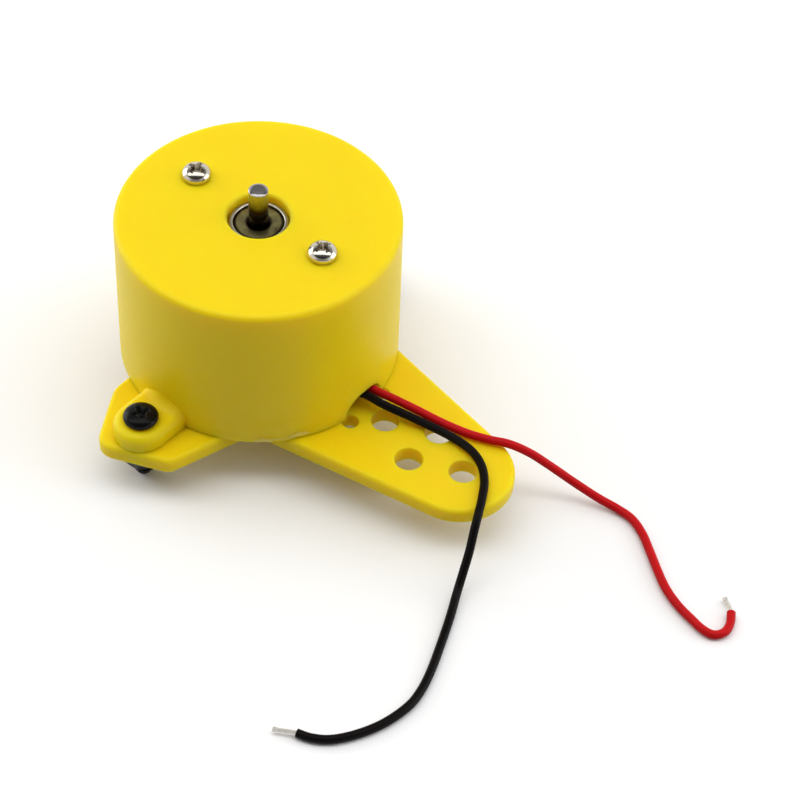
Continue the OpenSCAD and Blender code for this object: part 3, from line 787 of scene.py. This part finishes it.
@dataclass
class Cup:
    """The moulded cup: its shell, two lugs and the arched opening for the leads."""

    levels: Levels
    ears: Ears
    top_radius: float = 14.5
    rim_radius: float = 14.6
    cavity_radius: float = 12.5
    boss_hole_radius: float = 3.16
    boss_hole_edge: float = 0.42
    top_edge: float = 0.6
    rim_edge: float = 0.08
    lug_height: float = 2.0
    lug_edges: Pair = (0.15, 0.8)
    lug_fillet: float = 1.3
    lug_side_fillet: float = 0.4
    face_screw_reach: float = 8.5
    face_hole_radius: float = 0.97
    hole_edge: float = 0.1
    arch_radius: float = 2.45
    arch_shift: float = 0.35

    def build(self) -> None:
        """Models the cup and places it."""
        foot, face, wide = self.levels.rim, self.levels.face, self.cavity_radius
        shape = self._shell()
        for corners in (self.ears.lug, self.ears.mirrored(self.ears.lug)):
            shape = combined(shape, self._lug(corners), Joining.ADD)
        shape = combined(shape, turned([(0, foot - 1), (wide, foot - 1), (wide, face), (0, face)], 192))
        for side in (-1, 1):
            at_ear, at_face = (0, side * self.ears.reach), (side * self.face_screw_reach, 0)
            shape = drilled(shape, self.ears.hole_radius, at_ear, (foot, self.levels.lug), self.hole_edge)
            shape = drilled(shape, self.face_hole_radius, at_face, (face, 0), self.hole_edge)
        placed(combined(shape, self._arch()), "cup_shell", YELLOW, ["housing_cup"], crease=50)

    def _shell(self) -> Shape:
        """Models the cup's outside and its top.

        Returns:
            The shell, still solid inside.
        """
        foot, hole, inside = self.levels.rim, self.boss_hole_radius, self.levels.face - 1
        wide, top = self.rim_radius, self.top_radius
        shape = turned([(0, foot), (wide, foot), (top, 0), (hole, 0), (hole, inside), (0, inside)], 192)
        rings = (top, 0, self.top_edge, 6), (hole, 0, self.boss_hole_edge, 5), (wide, foot, self.rim_edge, 2)
        return soften(shape, *rings)

    def _lug(self, corners: Sequence[Corner]) -> Shape:
        """Models a lug with a rounded upper edge and a hollow fillet where it meets the cup's side wall.

        Args:
            corners: The corners of its outline.

        Returns:
            The lug.
        """
        shape = hull_prism(corners, (self.levels.rim, self.levels.lug), self.lug_edges)
        side = copysign(1.0, corners[-1][1])
        fillet = rim(self.rim_radius, 0, 0, self.lug_fillet, range(0, 91, 9))
        cuts = [((0, side * (self.rim_radius + reach), 0), (0, 1, 0)) for _, reach in fillet]
        cuts += [((step * 0.4, 0, 0), (1, 0, 0)) for step in range(-5, 6)]
        for place, normal in cuts:
            whole = [*shape.verts, *shape.edges, *shape.faces]
            ops.bisect_plane(shape, geom=whole, plane_co=place, plane_no=normal)
        shape.normal_update()
        moves = {vert: self._fillet_move(vert) for vert in shape.verts}
        for vert, move in moves.items():
            vert.co += move
        return shape

    def _fillet_move(self, vert: bmesh.types.BMVert) -> Vector:
        """How far the fillets move one point of a lug's skin.

        Args:
            vert: The point, before the fillets.

        Returns:
            Its move: up by the top's fillet, which dies away towards the lug's sides, and outwards by theirs.
        """
        away = max(vert.co.xy.length - self.rim_radius, 0.0)
        rise, spread = (
            reach - sqrt(reach ** 2 - max(reach - away, 0.0) ** 2)
            for reach in (self.lug_fillet, self.lug_side_fillet)
        )
        crown = 1 - min(abs(vert.co.x) / self.ears.lug_radius, 1.0) ** 2
        outwards = copysign(1.0, vert.co.x) if vert.co.z < self.levels.rim + 0.01 else vert.normal.x
        return Vector((outwards * spread, 0.0, max(vert.normal.z, 0.0) * crown * rise))

    def _arch(self) -> Shape:
        """Models the arched opening.

        Returns:
            Its cutter.
        """
        shape = bmesh.new()
        for along in (self.cavity_radius - 1, self.rim_radius + 1):
            for shift in (-self.arch_shift, self.arch_shift):
                place = Matrix.Translation((along, shift, self.levels.rim))
                upright = place @ Matrix.Rotation(pi / 2, 4, "Y")
                ops.create_circle(shape, segments=64, radius=self.arch_radius, matrix=upright)
        hulled(shape)
        ops.recalc_face_normals(shape, faces=shape.faces)
        return shape


@dataclass
class MouldFlash:
    """Thin pale scraps of moulding flash left on the cup's rim at the front."""

    levels: Levels
    radius: float = 14.62
    thickness: float = 0.05
    spans: tuple[Corner, ...] = ((-50.0, -42.5, 0.12), (-43.5, -33.5, 0.3), (-35.5, -27.5, 0.42))
    heights: tuple[float, ...] = (0.44, 0.05, 0.48)

    def build(self) -> None:
        """Models the scraps and places them, as one piece."""
        bm = bmesh.new()
        for index, (span, height) in enumerate(zip(self.spans, self.heights)):
            self._scrap(bm, index, span, height)
        placed(bm, "mould_flash", PALE_FLASH, crease=80)

    def _scrap(self, bm: Shape, index: int, span: Corner, tall: float) -> None:
        """Adds one ragged scrap.

        Args:
            bm: The shape that it is added to.
            index: The scrap's place in the noise.
            span: The angles that it starts and ends at, and its distance above the rim.
            tall: Its height.
        """
        start, end = (radians(angle) for angle in span[:2])
        low = self.levels.rim + span[2]
        strip = ops.create_grid(bm, x_segments=18, y_segments=3, size=0.5)["verts"]
        for vert in strip:
            along, up = vert.co.x + 0.5, vert.co.y + 0.5
            angle = start + (end - start) * along
            ragged = 0.5 + noise.noise(Vector((along * 7, index * 9.0, 0)))
            height = 0.05 + tall * (0.4 + 0.6 * ragged) * sin(pi * along) ** 0.5
            out = self.radius + 0.05 * noise.noise(Vector((along * 11, up * 3, index + 4.0)))
            vert.co = (out * cos(angle), out * sin(angle), low + height * up)
        ops.solidify(bm, geom=list({f for v in strip for f in v.link_faces}), thickness=-self.thickness)
        ops.recalc_face_normals(bm, faces=bm.faces)


@dataclass
class BaseArm:
    """The base plate: its round middle, the drilled arm and the two ears."""

    levels: Levels
    ears: Ears
    disc_radius: float = 12.9
    arm_root: Corner = (0.0, 0.0, 10.7)
    arm_tip: Corner = (27.05, 0.0, 5.7)
    edges: Pair = (0.3, 0.45)
    main_holes: tuple[Pair, ...] = ((17.3, 0.0), (22.45, -2.4), (22.45, 2.4), (27.6, 0.0))
    main_radius: float = 1.45
    small_holes: tuple[Pair, ...] = ((14.7, -2.5), (14.7, 2.5))
    small_radius: float = 0.9
    hole_edge: float = 0.12

    def build(self) -> None:
        """Models the plate and places it."""
        span = (self.levels.plate, self.levels.rim)
        shape = hull_prism([(0.0, 0.0, self.disc_radius)], span, self.edges, 160)
        outlines = ([self.arm_root, self.arm_tip], self.ears.fin, self.ears.mirrored(self.ears.plain))
        for corners in outlines:
            shape = combined(shape, hull_prism(corners, span, self.edges, 96), Joining.ADD)
        holes = [(place, self.main_radius) for place in self.main_holes]
        holes += [(place, self.small_radius) for place in self.small_holes]
        holes += [(place[:2], self.ears.hole_radius) for place in self.ears.places(0)]
        for place, radius in holes:
            shape = drilled(shape, radius, place, span, self.hole_edge)
        placed(shape, "base_arm", YELLOW, ["base_arm_plate"], crease=50)


@dataclass(frozen=True)
class PanScrew:
    """A pan-head screw with a crossed recess and a real thread.

    The recess's sizes are shares of the head's radius and height, and belly and foot shape its domed side.
    """

    thread_radius: float
    length: float
    head_radius: float
    head_height: float
    pitch: float
    recess_reach: float
    belly: float = 0.36
    foot: float = 0.8
    slot_widths: Pair = (0.1, 0.17)
    slot_heights: Pair = (0.25, 1.1)
    pit_radii: Pair = (0.12, 0.4)
    pit_heights: Pair = (0.2, 1.15)

    def shape(self) -> Shape:
        """Models the screw, its head's underside at height zero.

        Returns:
            The screw, pointing down.
        """
        head = self._head()
        for turn in (pi / 4, -pi / 4):
            head = combined(head, self._wing(turn))
        head = combined(head, self._pit())
        self._add_shank(head)
        return head

    def _head(self) -> Shape:
        """Models the domed head.

        Returns:
            The head, without its recess.
        """
        wide, tall, belly = self.head_radius, self.head_height, self.belly * self.head_height
        arc = [radians(a) for a in range(0, 91, 6)]
        skirt = [(wide * (self.foot + (1 - self.foot) * sin(a)), belly * (1 - cos(a))) for a in arc]
        crown = [(wide * cos(a), belly + (tall - belly) * sin(a)) for a in arc[1:-1]]
        return turned([(0, 0), *skirt, *crown, (0, tall)], 72)

    def _wing(self, turn: float) -> Shape:
        """Models one slot of the recess, which narrows towards its floor.

        Args:
            turn: The slot's angle.

        Returns:
            Its cutter.
        """
        shape = bmesh.new()
        ops.create_cube(shape, size=1.0)
        for vert in shape.verts:
            above = vert.co.z > 0
            half_length = self.recess_reach * (1.0 if above else 0.5)
            half_width = self.head_radius * self.slot_widths[above]
            height = self.head_height * self.slot_heights[above]
            vert.co = (copysign(half_length, vert.co.x), copysign(half_width, vert.co.y), height)
        ops.rotate(shape, cent=(0, 0, 0), matrix=Matrix.Rotation(turn, 3, "Z"), verts=shape.verts)
        return shape

    def _pit(self) -> Shape:
        """Models the tapered middle of the recess.

        Returns:
            Its cutter.
        """
        shape = bmesh.new()
        narrow, wide = (self.head_radius * share for share in self.pit_radii)
        low, high = (self.head_height * share for share in self.pit_heights)
        ops.create_cone(
            shape, cap_ends=True, segments=24, radius1=narrow, radius2=wide, depth=high - low,
            matrix=Matrix.Translation((0, 0, (low + high) / 2)),
        )
        return shape

    def _add_shank(self, shape: Shape) -> None:
        """Adds the core and the helical thread under the head.

        Args:
            shape: The head.
        """
        tip = self.thread_radius
        root = tip - 0.6 * self.pitch
        start = self.length - tip * 0.4
        core = turned(
            [(0, 0.05), (root, 0.05), (root, -start), (root * 0.6, -self.length), (0, -self.length)], 32
        )
        steps, turns = 20, (start - 0.1) / self.pitch
        tooth = [(root - 0.02, -0.42), (tip, -0.06), (tip, 0.06), (root - 0.02, 0.42)]
        verts = [core.verts.new((r, 0, -start + 0.2 + share * self.pitch)) for r, share in tooth]
        face = core.faces.new(verts)
        ops.spin(
            core, geom=[face, *face.edges, *verts], cent=(0, 0, 0), axis=(0, 0, 1), use_merge=False,
            dvec=(0, 0, self.pitch / steps), angle=FULL_TURN * turns, steps=int(steps * turns),
        )
        ops.recalc_face_normals(core, faces=core.faces)
        scrap = as_mesh(core, "shank")
        shape.from_mesh(scrap)
        bpy.data.meshes.remove(scrap)


@dataclass
class Fasteners:
    """The two face screws, the two ear screws and their nuts."""

    levels: Levels
    ears: Ears
    face_screw: PanScrew = PanScrew(
        thread_radius=0.83, length=3.2, head_radius=1.53, head_height=1.3, pitch=0.35, recess_reach=1.08,
        belly=0.25, foot=0.86,
    )
    ear_screw: PanScrew = PanScrew(
        thread_radius=0.98, length=8.0, head_radius=1.8, head_height=1.2, pitch=0.4, recess_reach=1.15
    )
    nut_flats: float = 4.0
    nut_height: float = 1.6
    nut_bore: float = 1.0
    nut_mouth: float = 1.3
    nut_corner_drop: float = 0.2
    face_turns: Pair = (-40.0, 35.0)
    ear_turns: Pair = (20.0, 60.0)

    def build(self) -> None:
        """Models the fasteners and places them."""
        at_face = [(side * Cup.face_screw_reach, 0.0, 0.0) for side in (-1, 1)]
        at_ears = self.ears.places(self.levels.lug)
        under = self.ears.places(self.levels.plate - self.nut_height)
        face_screw, ear_screw = self.face_screw.shape(), self.ear_screw.shape()
        self._set(face_screw, at_face, self.face_turns, "cup_face_screws", NICKEL, "face_screws")
        self._set(ear_screw, at_ears, self.ear_turns, "ear_fixing_screws", BLACK_STEEL, "ear_screws")
        self._set(self._nut(), under, (0.0, 0.0), "ear_fixing_nuts", BLACK_STEEL, "ear_nuts")

    @staticmethod
    def _set(
        pattern: Shape, places: Sequence[Corner], turns: Sequence[float], name: str, finish: Finish, node: str
    ) -> None:
        """Places copies of a fastener as one piece.

        Args:
            pattern: The fastener at the origin. It is freed.
            places: Where each copy goes.
            turns: How far each copy is turned, in degrees.
            name: The piece's name.
            finish: Its finish.
            node: The CAD node that it stands for.
        """
        mesh = as_mesh(pattern, "pattern")
        whole = bmesh.new()
        for place, turn in zip(places, turns):
            known = len(whole.verts)
            whole.from_mesh(mesh)
            move = Matrix.Translation(place) @ Matrix.Rotation(radians(turn), 4, "Z")
            ops.transform(whole, matrix=move, verts=list(whole.verts)[known:])
        bpy.data.meshes.remove(mesh)
        placed(whole, name, finish, [node], crease=35)

    def _nut(self) -> Shape:
        """Models a hexagonal nut with turned-down corners.

        Returns:
            The nut, its underside at height zero.
        """
        corner = self.nut_flats / sqrt(3)
        tall, drop, bore, mouth = self.nut_height, self.nut_corner_drop, self.nut_bore, self.nut_mouth
        shape = bmesh.new()
        ops.create_cone(
            shape, cap_ends=True, segments=6, radius1=corner, radius2=corner, depth=tall,
            matrix=Matrix.Translation((0, 0, tall / 2)) @ Matrix.Rotation(pi / 6, 4, "Z"),
        )
        blank = turned(
            [(0, 0), (self.nut_flats / 2 * 0.97, 0), (corner, drop), (corner, tall - drop * 0.2),
             (corner * 0.99, tall), (0, tall)], 72,
        )
        shape = combined(shape, blank, Joining.KEEP_COMMON)
        hole = turned([(0, -1), (mouth, -1), (mouth, 0.02), (bore, 0.3), (bore, tall + 1), (0, tall + 1)], 48)
        return combined(shape, hole)


@dataclass
class MotorFace:
    """What shows of the motor in the cup's hole: the can with its boss, the front bush and the shaft."""

    levels: Levels
    can_radius: float = 12.2
    can_length: float = 12.4
    sheet: float = 0.8
    screw_hole_radius: float = 0.85
    boss_radius: float = 3.05
    boss_height: float = 1.2
    boss_wall: float = 0.5
    bush_sink: float = 0.15
    bush_length: float = 2.3
    bush_chamfer: float = 0.22
    bush_mouth: float = 0.25
    journal_radius: float = 0.985
    journal_chamfer: float = 0.15
    running_gap: float = 0.02
    shaft_radius: float = 1.0
    free_end_sink: float = 0.3
    groove_width: float = 0.6
    groove_depth: float = 0.2
    tip_chamfer: Pair = (0.3, 0.13)
    tip_lip: Pair = (0.4, 0.01)
    tip_dish: float = 0.025

    def build(self) -> None:
        """Models the can, the bush and the shaft, and places them."""
        self._can()
        self._bush()
        self._shaft()

    def _can(self) -> None:
        """The deep-drawn can, open at its rear."""
        face, boss = self.levels.face, self.levels.boss
        outer, inner = self.can_radius, self.can_radius - self.sheet
        back, rear = face - self.sheet, face - self.can_length
        wide, seat = self.boss_radius, self.boss_radius - self.boss_wall + self.running_gap
        shape = turned(
            [(seat, boss), (seat, back), (inner, back), (inner, rear), (outer, rear), (outer, face),
             (wide, face), (wide, boss)], 160, True,
        )
        soften(shape, (outer, face, 1.0, 6), (wide, boss, 0.24, 5), (seat, boss, 0.18, 3))
        hole = self.screw_hole_radius
        for side in (-1, 1):
            drill = turned([(0, face - 2), (hole, face - 2), (hole, face + 1), (0, face + 1)], 32)
            ops.translate(drill, vec=(side * Cup.face_screw_reach, 0, 0), verts=drill.verts)
            shape = combined(shape, drill)
        placed(shape, "drawn_can", CAN_STEEL, ["motor_can"])

    def _bush(self) -> None:
        """The front bush, with its countersunk mouth and chamfered outer edge."""
        top = self.levels.boss - self.bush_sink
        low = top - self.bush_length
        outer, bore = self.boss_radius - self.boss_wall, self.journal_radius + self.running_gap
        shoulder, mouth = outer - self.bush_chamfer, bore + self.bush_mouth
        shape = turned(
            [(bore, low), (outer, low), (outer, top - self.bush_chamfer), (shoulder, top), (mouth, top),
             (bore, top - self.bush_mouth)], 96, True,
        )
        soften(shape, (mouth, top, 0.04, 2), (shoulder, top, 0.05, 2))
        placed(shape, "front_bearing_bush", BRONZE, ["front_bush"])

    def _shaft(self) -> None:
        """The shaft, with a chamfered and slightly dished end."""
        low, high = (corner.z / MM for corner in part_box("shaft"))
        wide, thin, step = self.shaft_radius, self.journal_radius, -self.free_end_sink
        neck, groove = wide - self.groove_depth, step - self.groove_width
        flat, shoulder = wide - self.tip_chamfer[0], high - self.tip_chamfer[1]
        shape = turned(
            [(0, low), (thin - self.journal_chamfer, low), (thin, low + self.journal_chamfer), (thin, groove),
             (neck, groove), (neck, step), (wide, step), (wide, shoulder), (flat, high),
             (wide - self.tip_lip[0], high - self.tip_lip[1]), (0, high - self.tip_dish)], 64,
        )
        soften(shape, (wide, shoulder, 0.04, 3), (flat, high, 0.05, 3))
        placed(shape, "motor_shaft", SHAFT_STEEL, ["shaft"], Body.ROTOR)


@dataclass
class Lead:
    """One insulated lead that lies loose, with its stripped and tinned end."""

    name: str
    finish: Finish
    node: str
    route: Sequence[Corner]
    tip_node: str
    tip_route: Sequence[Corner]
    length_mm: float
    diameter: float = 0.9
    strand_radius: float = 0.1
    strands: int = 6
    twist_turns: float = 0.8
    twist_steps: int = 8

    def build(self) -> None:
        lead = self._tube(self.name, [self.route], self.diameter / 2, self.finish, self.node)
        strands = self._twisted()
        tip = self._tube(f"{self.name}_strands", strands, self.strand_radius, SOLDER, self.tip_node)

    @staticmethod
    def _tube(
        name: str, routes: Sequence[Sequence[Corner]], radius: float, finish: Finish, node: str
    ) -> Piece:
        """Makes round tubes along smooth curves through their routes' points.

        Args:
            name: The piece's name.
            routes: The points of each tube, in millimetres.
            radius: The tubes' radius.
            finish: Their finish.
            node: The CAD node that they stand for.

        Returns:
            The tubes, as one curve object.
        """
        data = bpy.data.curves.new(name, "CURVE")
        data.dimensions = "3D"
        data.resolution_u = 8
        data.bevel_depth = radius * MM
        data.bevel_resolution = 5
        data.use_fill_caps = True
        for route in routes:
            points = [Vector(p) * MM for p in route]
            spline = data.splines.new("BEZIER")
            spline.bezier_points.add(len(points) - 1)
            for index, point in enumerate(spline.bezier_points):
                before, after = points[max(index - 1, 0)], points[min(index + 1, len(points) - 1)]
                reach = (after - before) / 6
                point.handle_left_type = point.handle_right_type = "FREE"
                point.co = points[index]
                point.handle_left = points[index] - reach
                point.handle_right = points[index] + reach
        data.materials.append(finish.material())
        return settled(linked(name, data), [node])

    def _twisted(self) -> list[list[Corner]]:
        """Twists the single strands round the bare end's middle line, slightly frayed.

        Returns:
            The strands' routes.
        """
        start, middle, end = (Vector(point) for point in self.tip_route)
        along = (end - start).normalized()
        side = along.cross(Vector((0, 0, 1))).normalized()
        up = side.cross(along)
        routes = []
        for strand in range(self.strands):
            route = []
            for step in range(self.twist_steps + 1):
                t = step / self.twist_steps
                centre = start * (1 - t) ** 2 + middle * 2 * t * (1 - t) + end * t * t
                angle = FULL_TURN * (strand / self.strands + self.twist_turns * t)
                spread = self.strand_radius * (1.55 + 0.5 * t * (strand % 3 - 1))
                route.append(tuple(centre + spread * (cos(angle) * side + sin(angle) * up)))
            routes.append(route)
        core = [tuple(start), tuple((start + 2 * middle + end) / 4), tuple(end)]
        return [*routes, core]


@dataclass
class InnerWorks:
    """The hidden pieces, which keep their CAD shape and get their finish."""

    finishes: tuple[tuple[Finish, tuple[str, ...]], ...] = (
        (FERRITE, ("magnet_ring",)),
        (IVORY, ("end_bell",)),
        (BRONZE, ("rear_bush",)),
        (COPPER, ("brush_positive", "brush_negative", "commutator_segments")),
        (TINNED, ("terminal_positive", "terminal_negative")),
        (SOLDER, ("solder_joints",)),
        (LAMINATION, ("armature_core",)),
        (GREEN_COAT, ("core_insulators",)),
        (ENAMEL, ("coil_1", "coil_2", "coil_3")),
        (PHENOLIC, ("commutator_hub", "quench_ring")),
        (FIBRE, ("front_washer", "rear_washer")),
    )

    def dress(self) -> None:
        """Gives each hidden CAD node its finish."""
        for finish, names in self.finishes:
            for name in names:
                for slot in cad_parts[name].material_slots:
                    slot.material = finish.material()
                log.info("%s keeps its CAD mesh, in %s", name, finish.slot)


def aim(thing: Piece, place: Vector, back: Vector, turn: float) -> None:
    """Places a camera or a lamp and points it.

    Args:
        thing: The camera or the lamp.
        place: Its place, in millimetres.
        back: The way from what it looks at towards it.
        turn: How far it is turned about that line, in degrees.
    """
    level = (-back).to_track_quat("-Z", "Y").to_matrix()
    thing.rotation_mode = "QUATERNION"
    thing.rotation_quaternion = (level @ Matrix.Rotation(radians(turn), 3, "Z")).to_quaternion()
    thing.location = place * MM


@dataclass
class Camera:
    """The camera, placed by its direction round the aim point."""

    target: Corner = (26.62, -9.64, 0.0)
    azimuth: float = 37.98
    elevation: float = 47.67
    roll: float = 2.94
    distance: float = 232.3
    lens: float = 111.96

    def build(self) -> None:
        """Makes the camera and sets it as the scene's."""
        data = bpy.data.cameras.new("studio_camera")
        data.sensor_width = 36.0
        data.lens = self.lens
        data.clip_start, data.clip_end = 0.01, 20.0
        camera = linked("studio_camera", data)
        a, e = radians(self.azimuth), radians(self.elevation)
        back = Vector((sin(a) * cos(e), -cos(a) * cos(e), sin(e)))
        aim(camera, Vector(self.target) + back * self.distance, back, self.roll)
        bpy.context.scene.camera = camera


@dataclass
class Softbox:
    """One soft lamp, aimed at the cup."""

    name: str
    place: Corner
    size: Pair
    power: float
    turn: float = 0.0

    def build(self) -> None:
        """Makes the lamp."""
        data = bpy.data.lights.new(self.name, "AREA")
        data.shape = "RECTANGLE"
        data.size, data.size_y = (side * MM for side in self.size)
        data.energy = self.power
        place = Vector(self.place)
        aim(linked(self.name, data), place, place, self.turn)


@dataclass
class Studio:
    """The pale floor, a room with white walls and a dim ceiling, and the lamps.

    Each pair of limits says where the world's shading starts and where it is full: along a way for the
    walls and the ceiling, and along the sine of the height above the horizon for the rest.
    """

    levels: Levels
    floor_reach: float = 2500.0
    floor_white: float = 1.0
    floor_bounce: float = 0.6
    floor_fade: Pair = (70.0, 240.0)
    back_way: Corner = (-0.5, 0.62, 0.6)
    back_light: Pair = (0.0, 0.86)
    back_light_limits: Pair = (-0.45, 0.6)
    sky_limits: Pair = (0.05, 0.4)
    ceiling: Pair = (0.03, 0.31)
    ceiling_way_limits: Pair = (0.0, 0.95)
    ceiling_limits: Pair = (0.45, 0.62)
    front_way: Corner = (0.615, -0.788, 0.0)
    front_wall: float = 0.3
    front_wall_limits: Pair = (0.5, 0.85)
    lamps: tuple[Softbox, ...] = (
        Softbox("overhead_softbox", (0.0, -20.0, 420.0), (1000.0, 180.0), 1.06, 38.0),
        Softbox("left_softbox", (-340.0, -80.0, 90.0), (240.0, 240.0), 0.48),
        Softbox("right_softbox", (280.0, 220.0, 100.0), (240.0, 240.0), 0.38),
    )

    def build(self) -> None:
        """Makes the floor, the world and the lamps."""
        self._floor()
        self._world()
        for lamp in self.lamps:
            lamp.build()
        bpy.context.scene.view_settings.view_transform = "Standard"

    @staticmethod
    def _shown(bench: NodeBench) -> Socket:
        """Tells rays that look at the surroundings from rays that only gather light.

        Args:
            bench: The bench of a material or a world.

        Returns:
            1 where the surroundings are looked at, straight or in a gloss, and else 0.
        """
        rays = bench.add("ShaderNodeLightPath").outputs
        seen = bench.math("MAXIMUM", rays["Is Camera Ray"], rays["Is Glossy Ray"])
        return bench.math("MAXIMUM", seen, rays["Is Transmission Ray"])

    def _floor(self) -> None:
        """The floor, which keeps the shadows near the motor and looks white further out."""
        bm = bmesh.new()
        ops.create_grid(bm, x_segments=1, y_segments=1, size=self.floor_reach * MM)
        ops.translate(bm, vec=(0, 0, self.levels.floor * MM), verts=bm.verts)
        mesh = as_mesh(bm, "studio_floor")
        made = bpy.data.materials.new("studio_floor")
        made.use_nodes = True
        bench = NodeBench(made.node_tree)
        shown = self._shown(bench)
        tone = bench.blend(shown, (self.floor_bounce,) * 3, (self.floor_white,) * 3)
        reach = bench.vector("LENGTH", "Value", bench.place())
        far = bench.math("MULTIPLY", bench.ramp(reach, *(edge * MM for edge in self.floor_fade)), shown)
        matt = bench.add("ShaderNodeBsdfDiffuse", Color=tone).outputs["BSDF"]
        white = bench.add("ShaderNodeEmission").outputs["Emission"]
        mixed = bench.add("ShaderNodeMixShader", None, far, matt, white)
        bench.add("ShaderNodeOutputMaterial", Surface=mixed.outputs[0])
        mesh.materials.append(made)
        linked("studio_floor", mesh)

    def _world(self) -> None:
        """Gives light from behind more than from the front, and shows the room's walls and ceiling."""
        world = bpy.data.worlds.new("studio_world")
        bpy.context.scene.world = world
        world.use_nodes = True
        bench = NodeBench(world.node_tree)
        place = bench.place("Generated")
        height = bench.height(place)
        backwards = bench.vector("DOT_PRODUCT", "Value", place, Vector(self.back_way).normalized())
        forwards = bench.vector("DOT_PRODUCT", "Value", place, self.front_way)
        light = bench.between(bench.ramp(backwards, *self.back_light_limits), *self.back_light)
        level = bench.math("MULTIPLY", bench.ramp(height, *self.sky_limits), light)
        ceiling = bench.between(bench.ramp(backwards, *self.ceiling_way_limits), *self.ceiling)
        walls = bench.between(bench.ramp(forwards, *self.front_wall_limits), 1.0, self.front_wall)
        room = bench.blend(bench.ramp(height, *self.ceiling_limits), walls, ceiling)
        seen = bench.blend(self._shown(bench), level, room)
        glow = bench.add("ShaderNodeBackground", Strength=1.0, Color=seen)
        bench.add("ShaderNodeOutputWorld", Surface=glow.outputs["Background"])


RED_ROUTE: tuple[Corner, ...] = (
    (9.6, 2.6, -16), (10.4, 2.6, -16), (11.4, 2, -16.2), (12.6, 1.4, -16.4), (14.2, 1.4, -16.4),
    (16.8, 2, -16.6), (19.5, 2.7, -17), (22.3, 3.3, -17.3), (25.1, 3.9, -17.3), (27.2, 4.7, -17.3),
    (29.1, 5.6, -17.3), (31, 6.7, -18.2), (33, 7.8, -19.7), (35.1, 8.8, -21.2), (37.7, 9.8, -22.6),
    (39.8, 10.4, -23.2), (41.7, 10.4, -23.3), (43.6, 9.6, -23.3), (45.5, 8.3, -23.3),
    (47.7, 6.7, -23.3), (49.7, 5.4, -23.3), (51.8, 4.5, -23.3), (53.8, 4, -23.3), (55.4, 3.7, -23.3),
    (56.6, 3.9, -23.3), (57.2, 4.9, -23.3), (57, 6.1, -23.3), (56.3, 7.3, -23.3),
)
RED_TIP: tuple[Corner, ...] = ((56.3, 7.3, -23.3), (55.6, 8, -23.4), (54.7, 8.4, -23.4))
BLACK_ROUTE: tuple[Corner, ...] = (
    (9.6, -2.6, -16), (10.4, -2.6, -16), (11.6, -2, -16.1), (12.8, -0.7, -16.2), (14.2, 0.25, -16.3),
    (16.5, 0.6, -16.5), (18.5, 1.2, -16.8), (21, 1.85, -17.1), (24, 2.4, -17.3), (26.6, 2.35, -17.3),
    (28.7, 1.5, -17.3), (30.3, 0, -17.3), (31.6, -2, -17.3), (32.4, -3.5, -17.4), (33.1, -5, -18.3),
    (33.6, -6.2, -19.9), (34, -7.5, -21.6), (34.6, -9.1, -22.8), (35.8, -11.6, -23.25),
    (37.2, -14.7, -23.3), (38.6, -18, -23.3), (39.4, -20.6, -23.3), (39.6, -22.8, -23.3),
    (39.1, -25.7, -23.3), (38, -28.3, -23.3), (36.6, -30.3, -23.3), (35.1, -31.4, -23.3),
    (33.7, -31.9, -23.3),
)
BLACK_TIP: tuple[Corner, ...] = ((33.7, -31.9, -23.3), (32.7, -32.5, -23.3), (31.7, -33.1, -23.3))


def main() -> None:
    """Builds the camera, the leads, the pieces and the studio."""
    logging.basicConfig(level=logging.INFO, format="%(name)s: %(message)s")
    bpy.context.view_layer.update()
    levels, ears = Levels(), Ears()
    Camera().build()
    Lead("red_wire", RED_SLEEVE, "red_lead", RED_ROUTE, "red_lead_tip", RED_TIP, 56.3).build()
    Lead("black_wire", BLACK_SLEEVE, "black_lead", BLACK_ROUTE, "black_lead_tip", BLACK_TIP, 61.5).build()
    Cup(levels, ears).build()
    MouldFlash(levels).build()
    BaseArm(levels, ears).build()
    Fasteners(levels, ears).build()
    MotorFace(levels).build()
    InnerWorks().dress()
    Studio(levels).build()


if __name__ == "__main__":
    main()
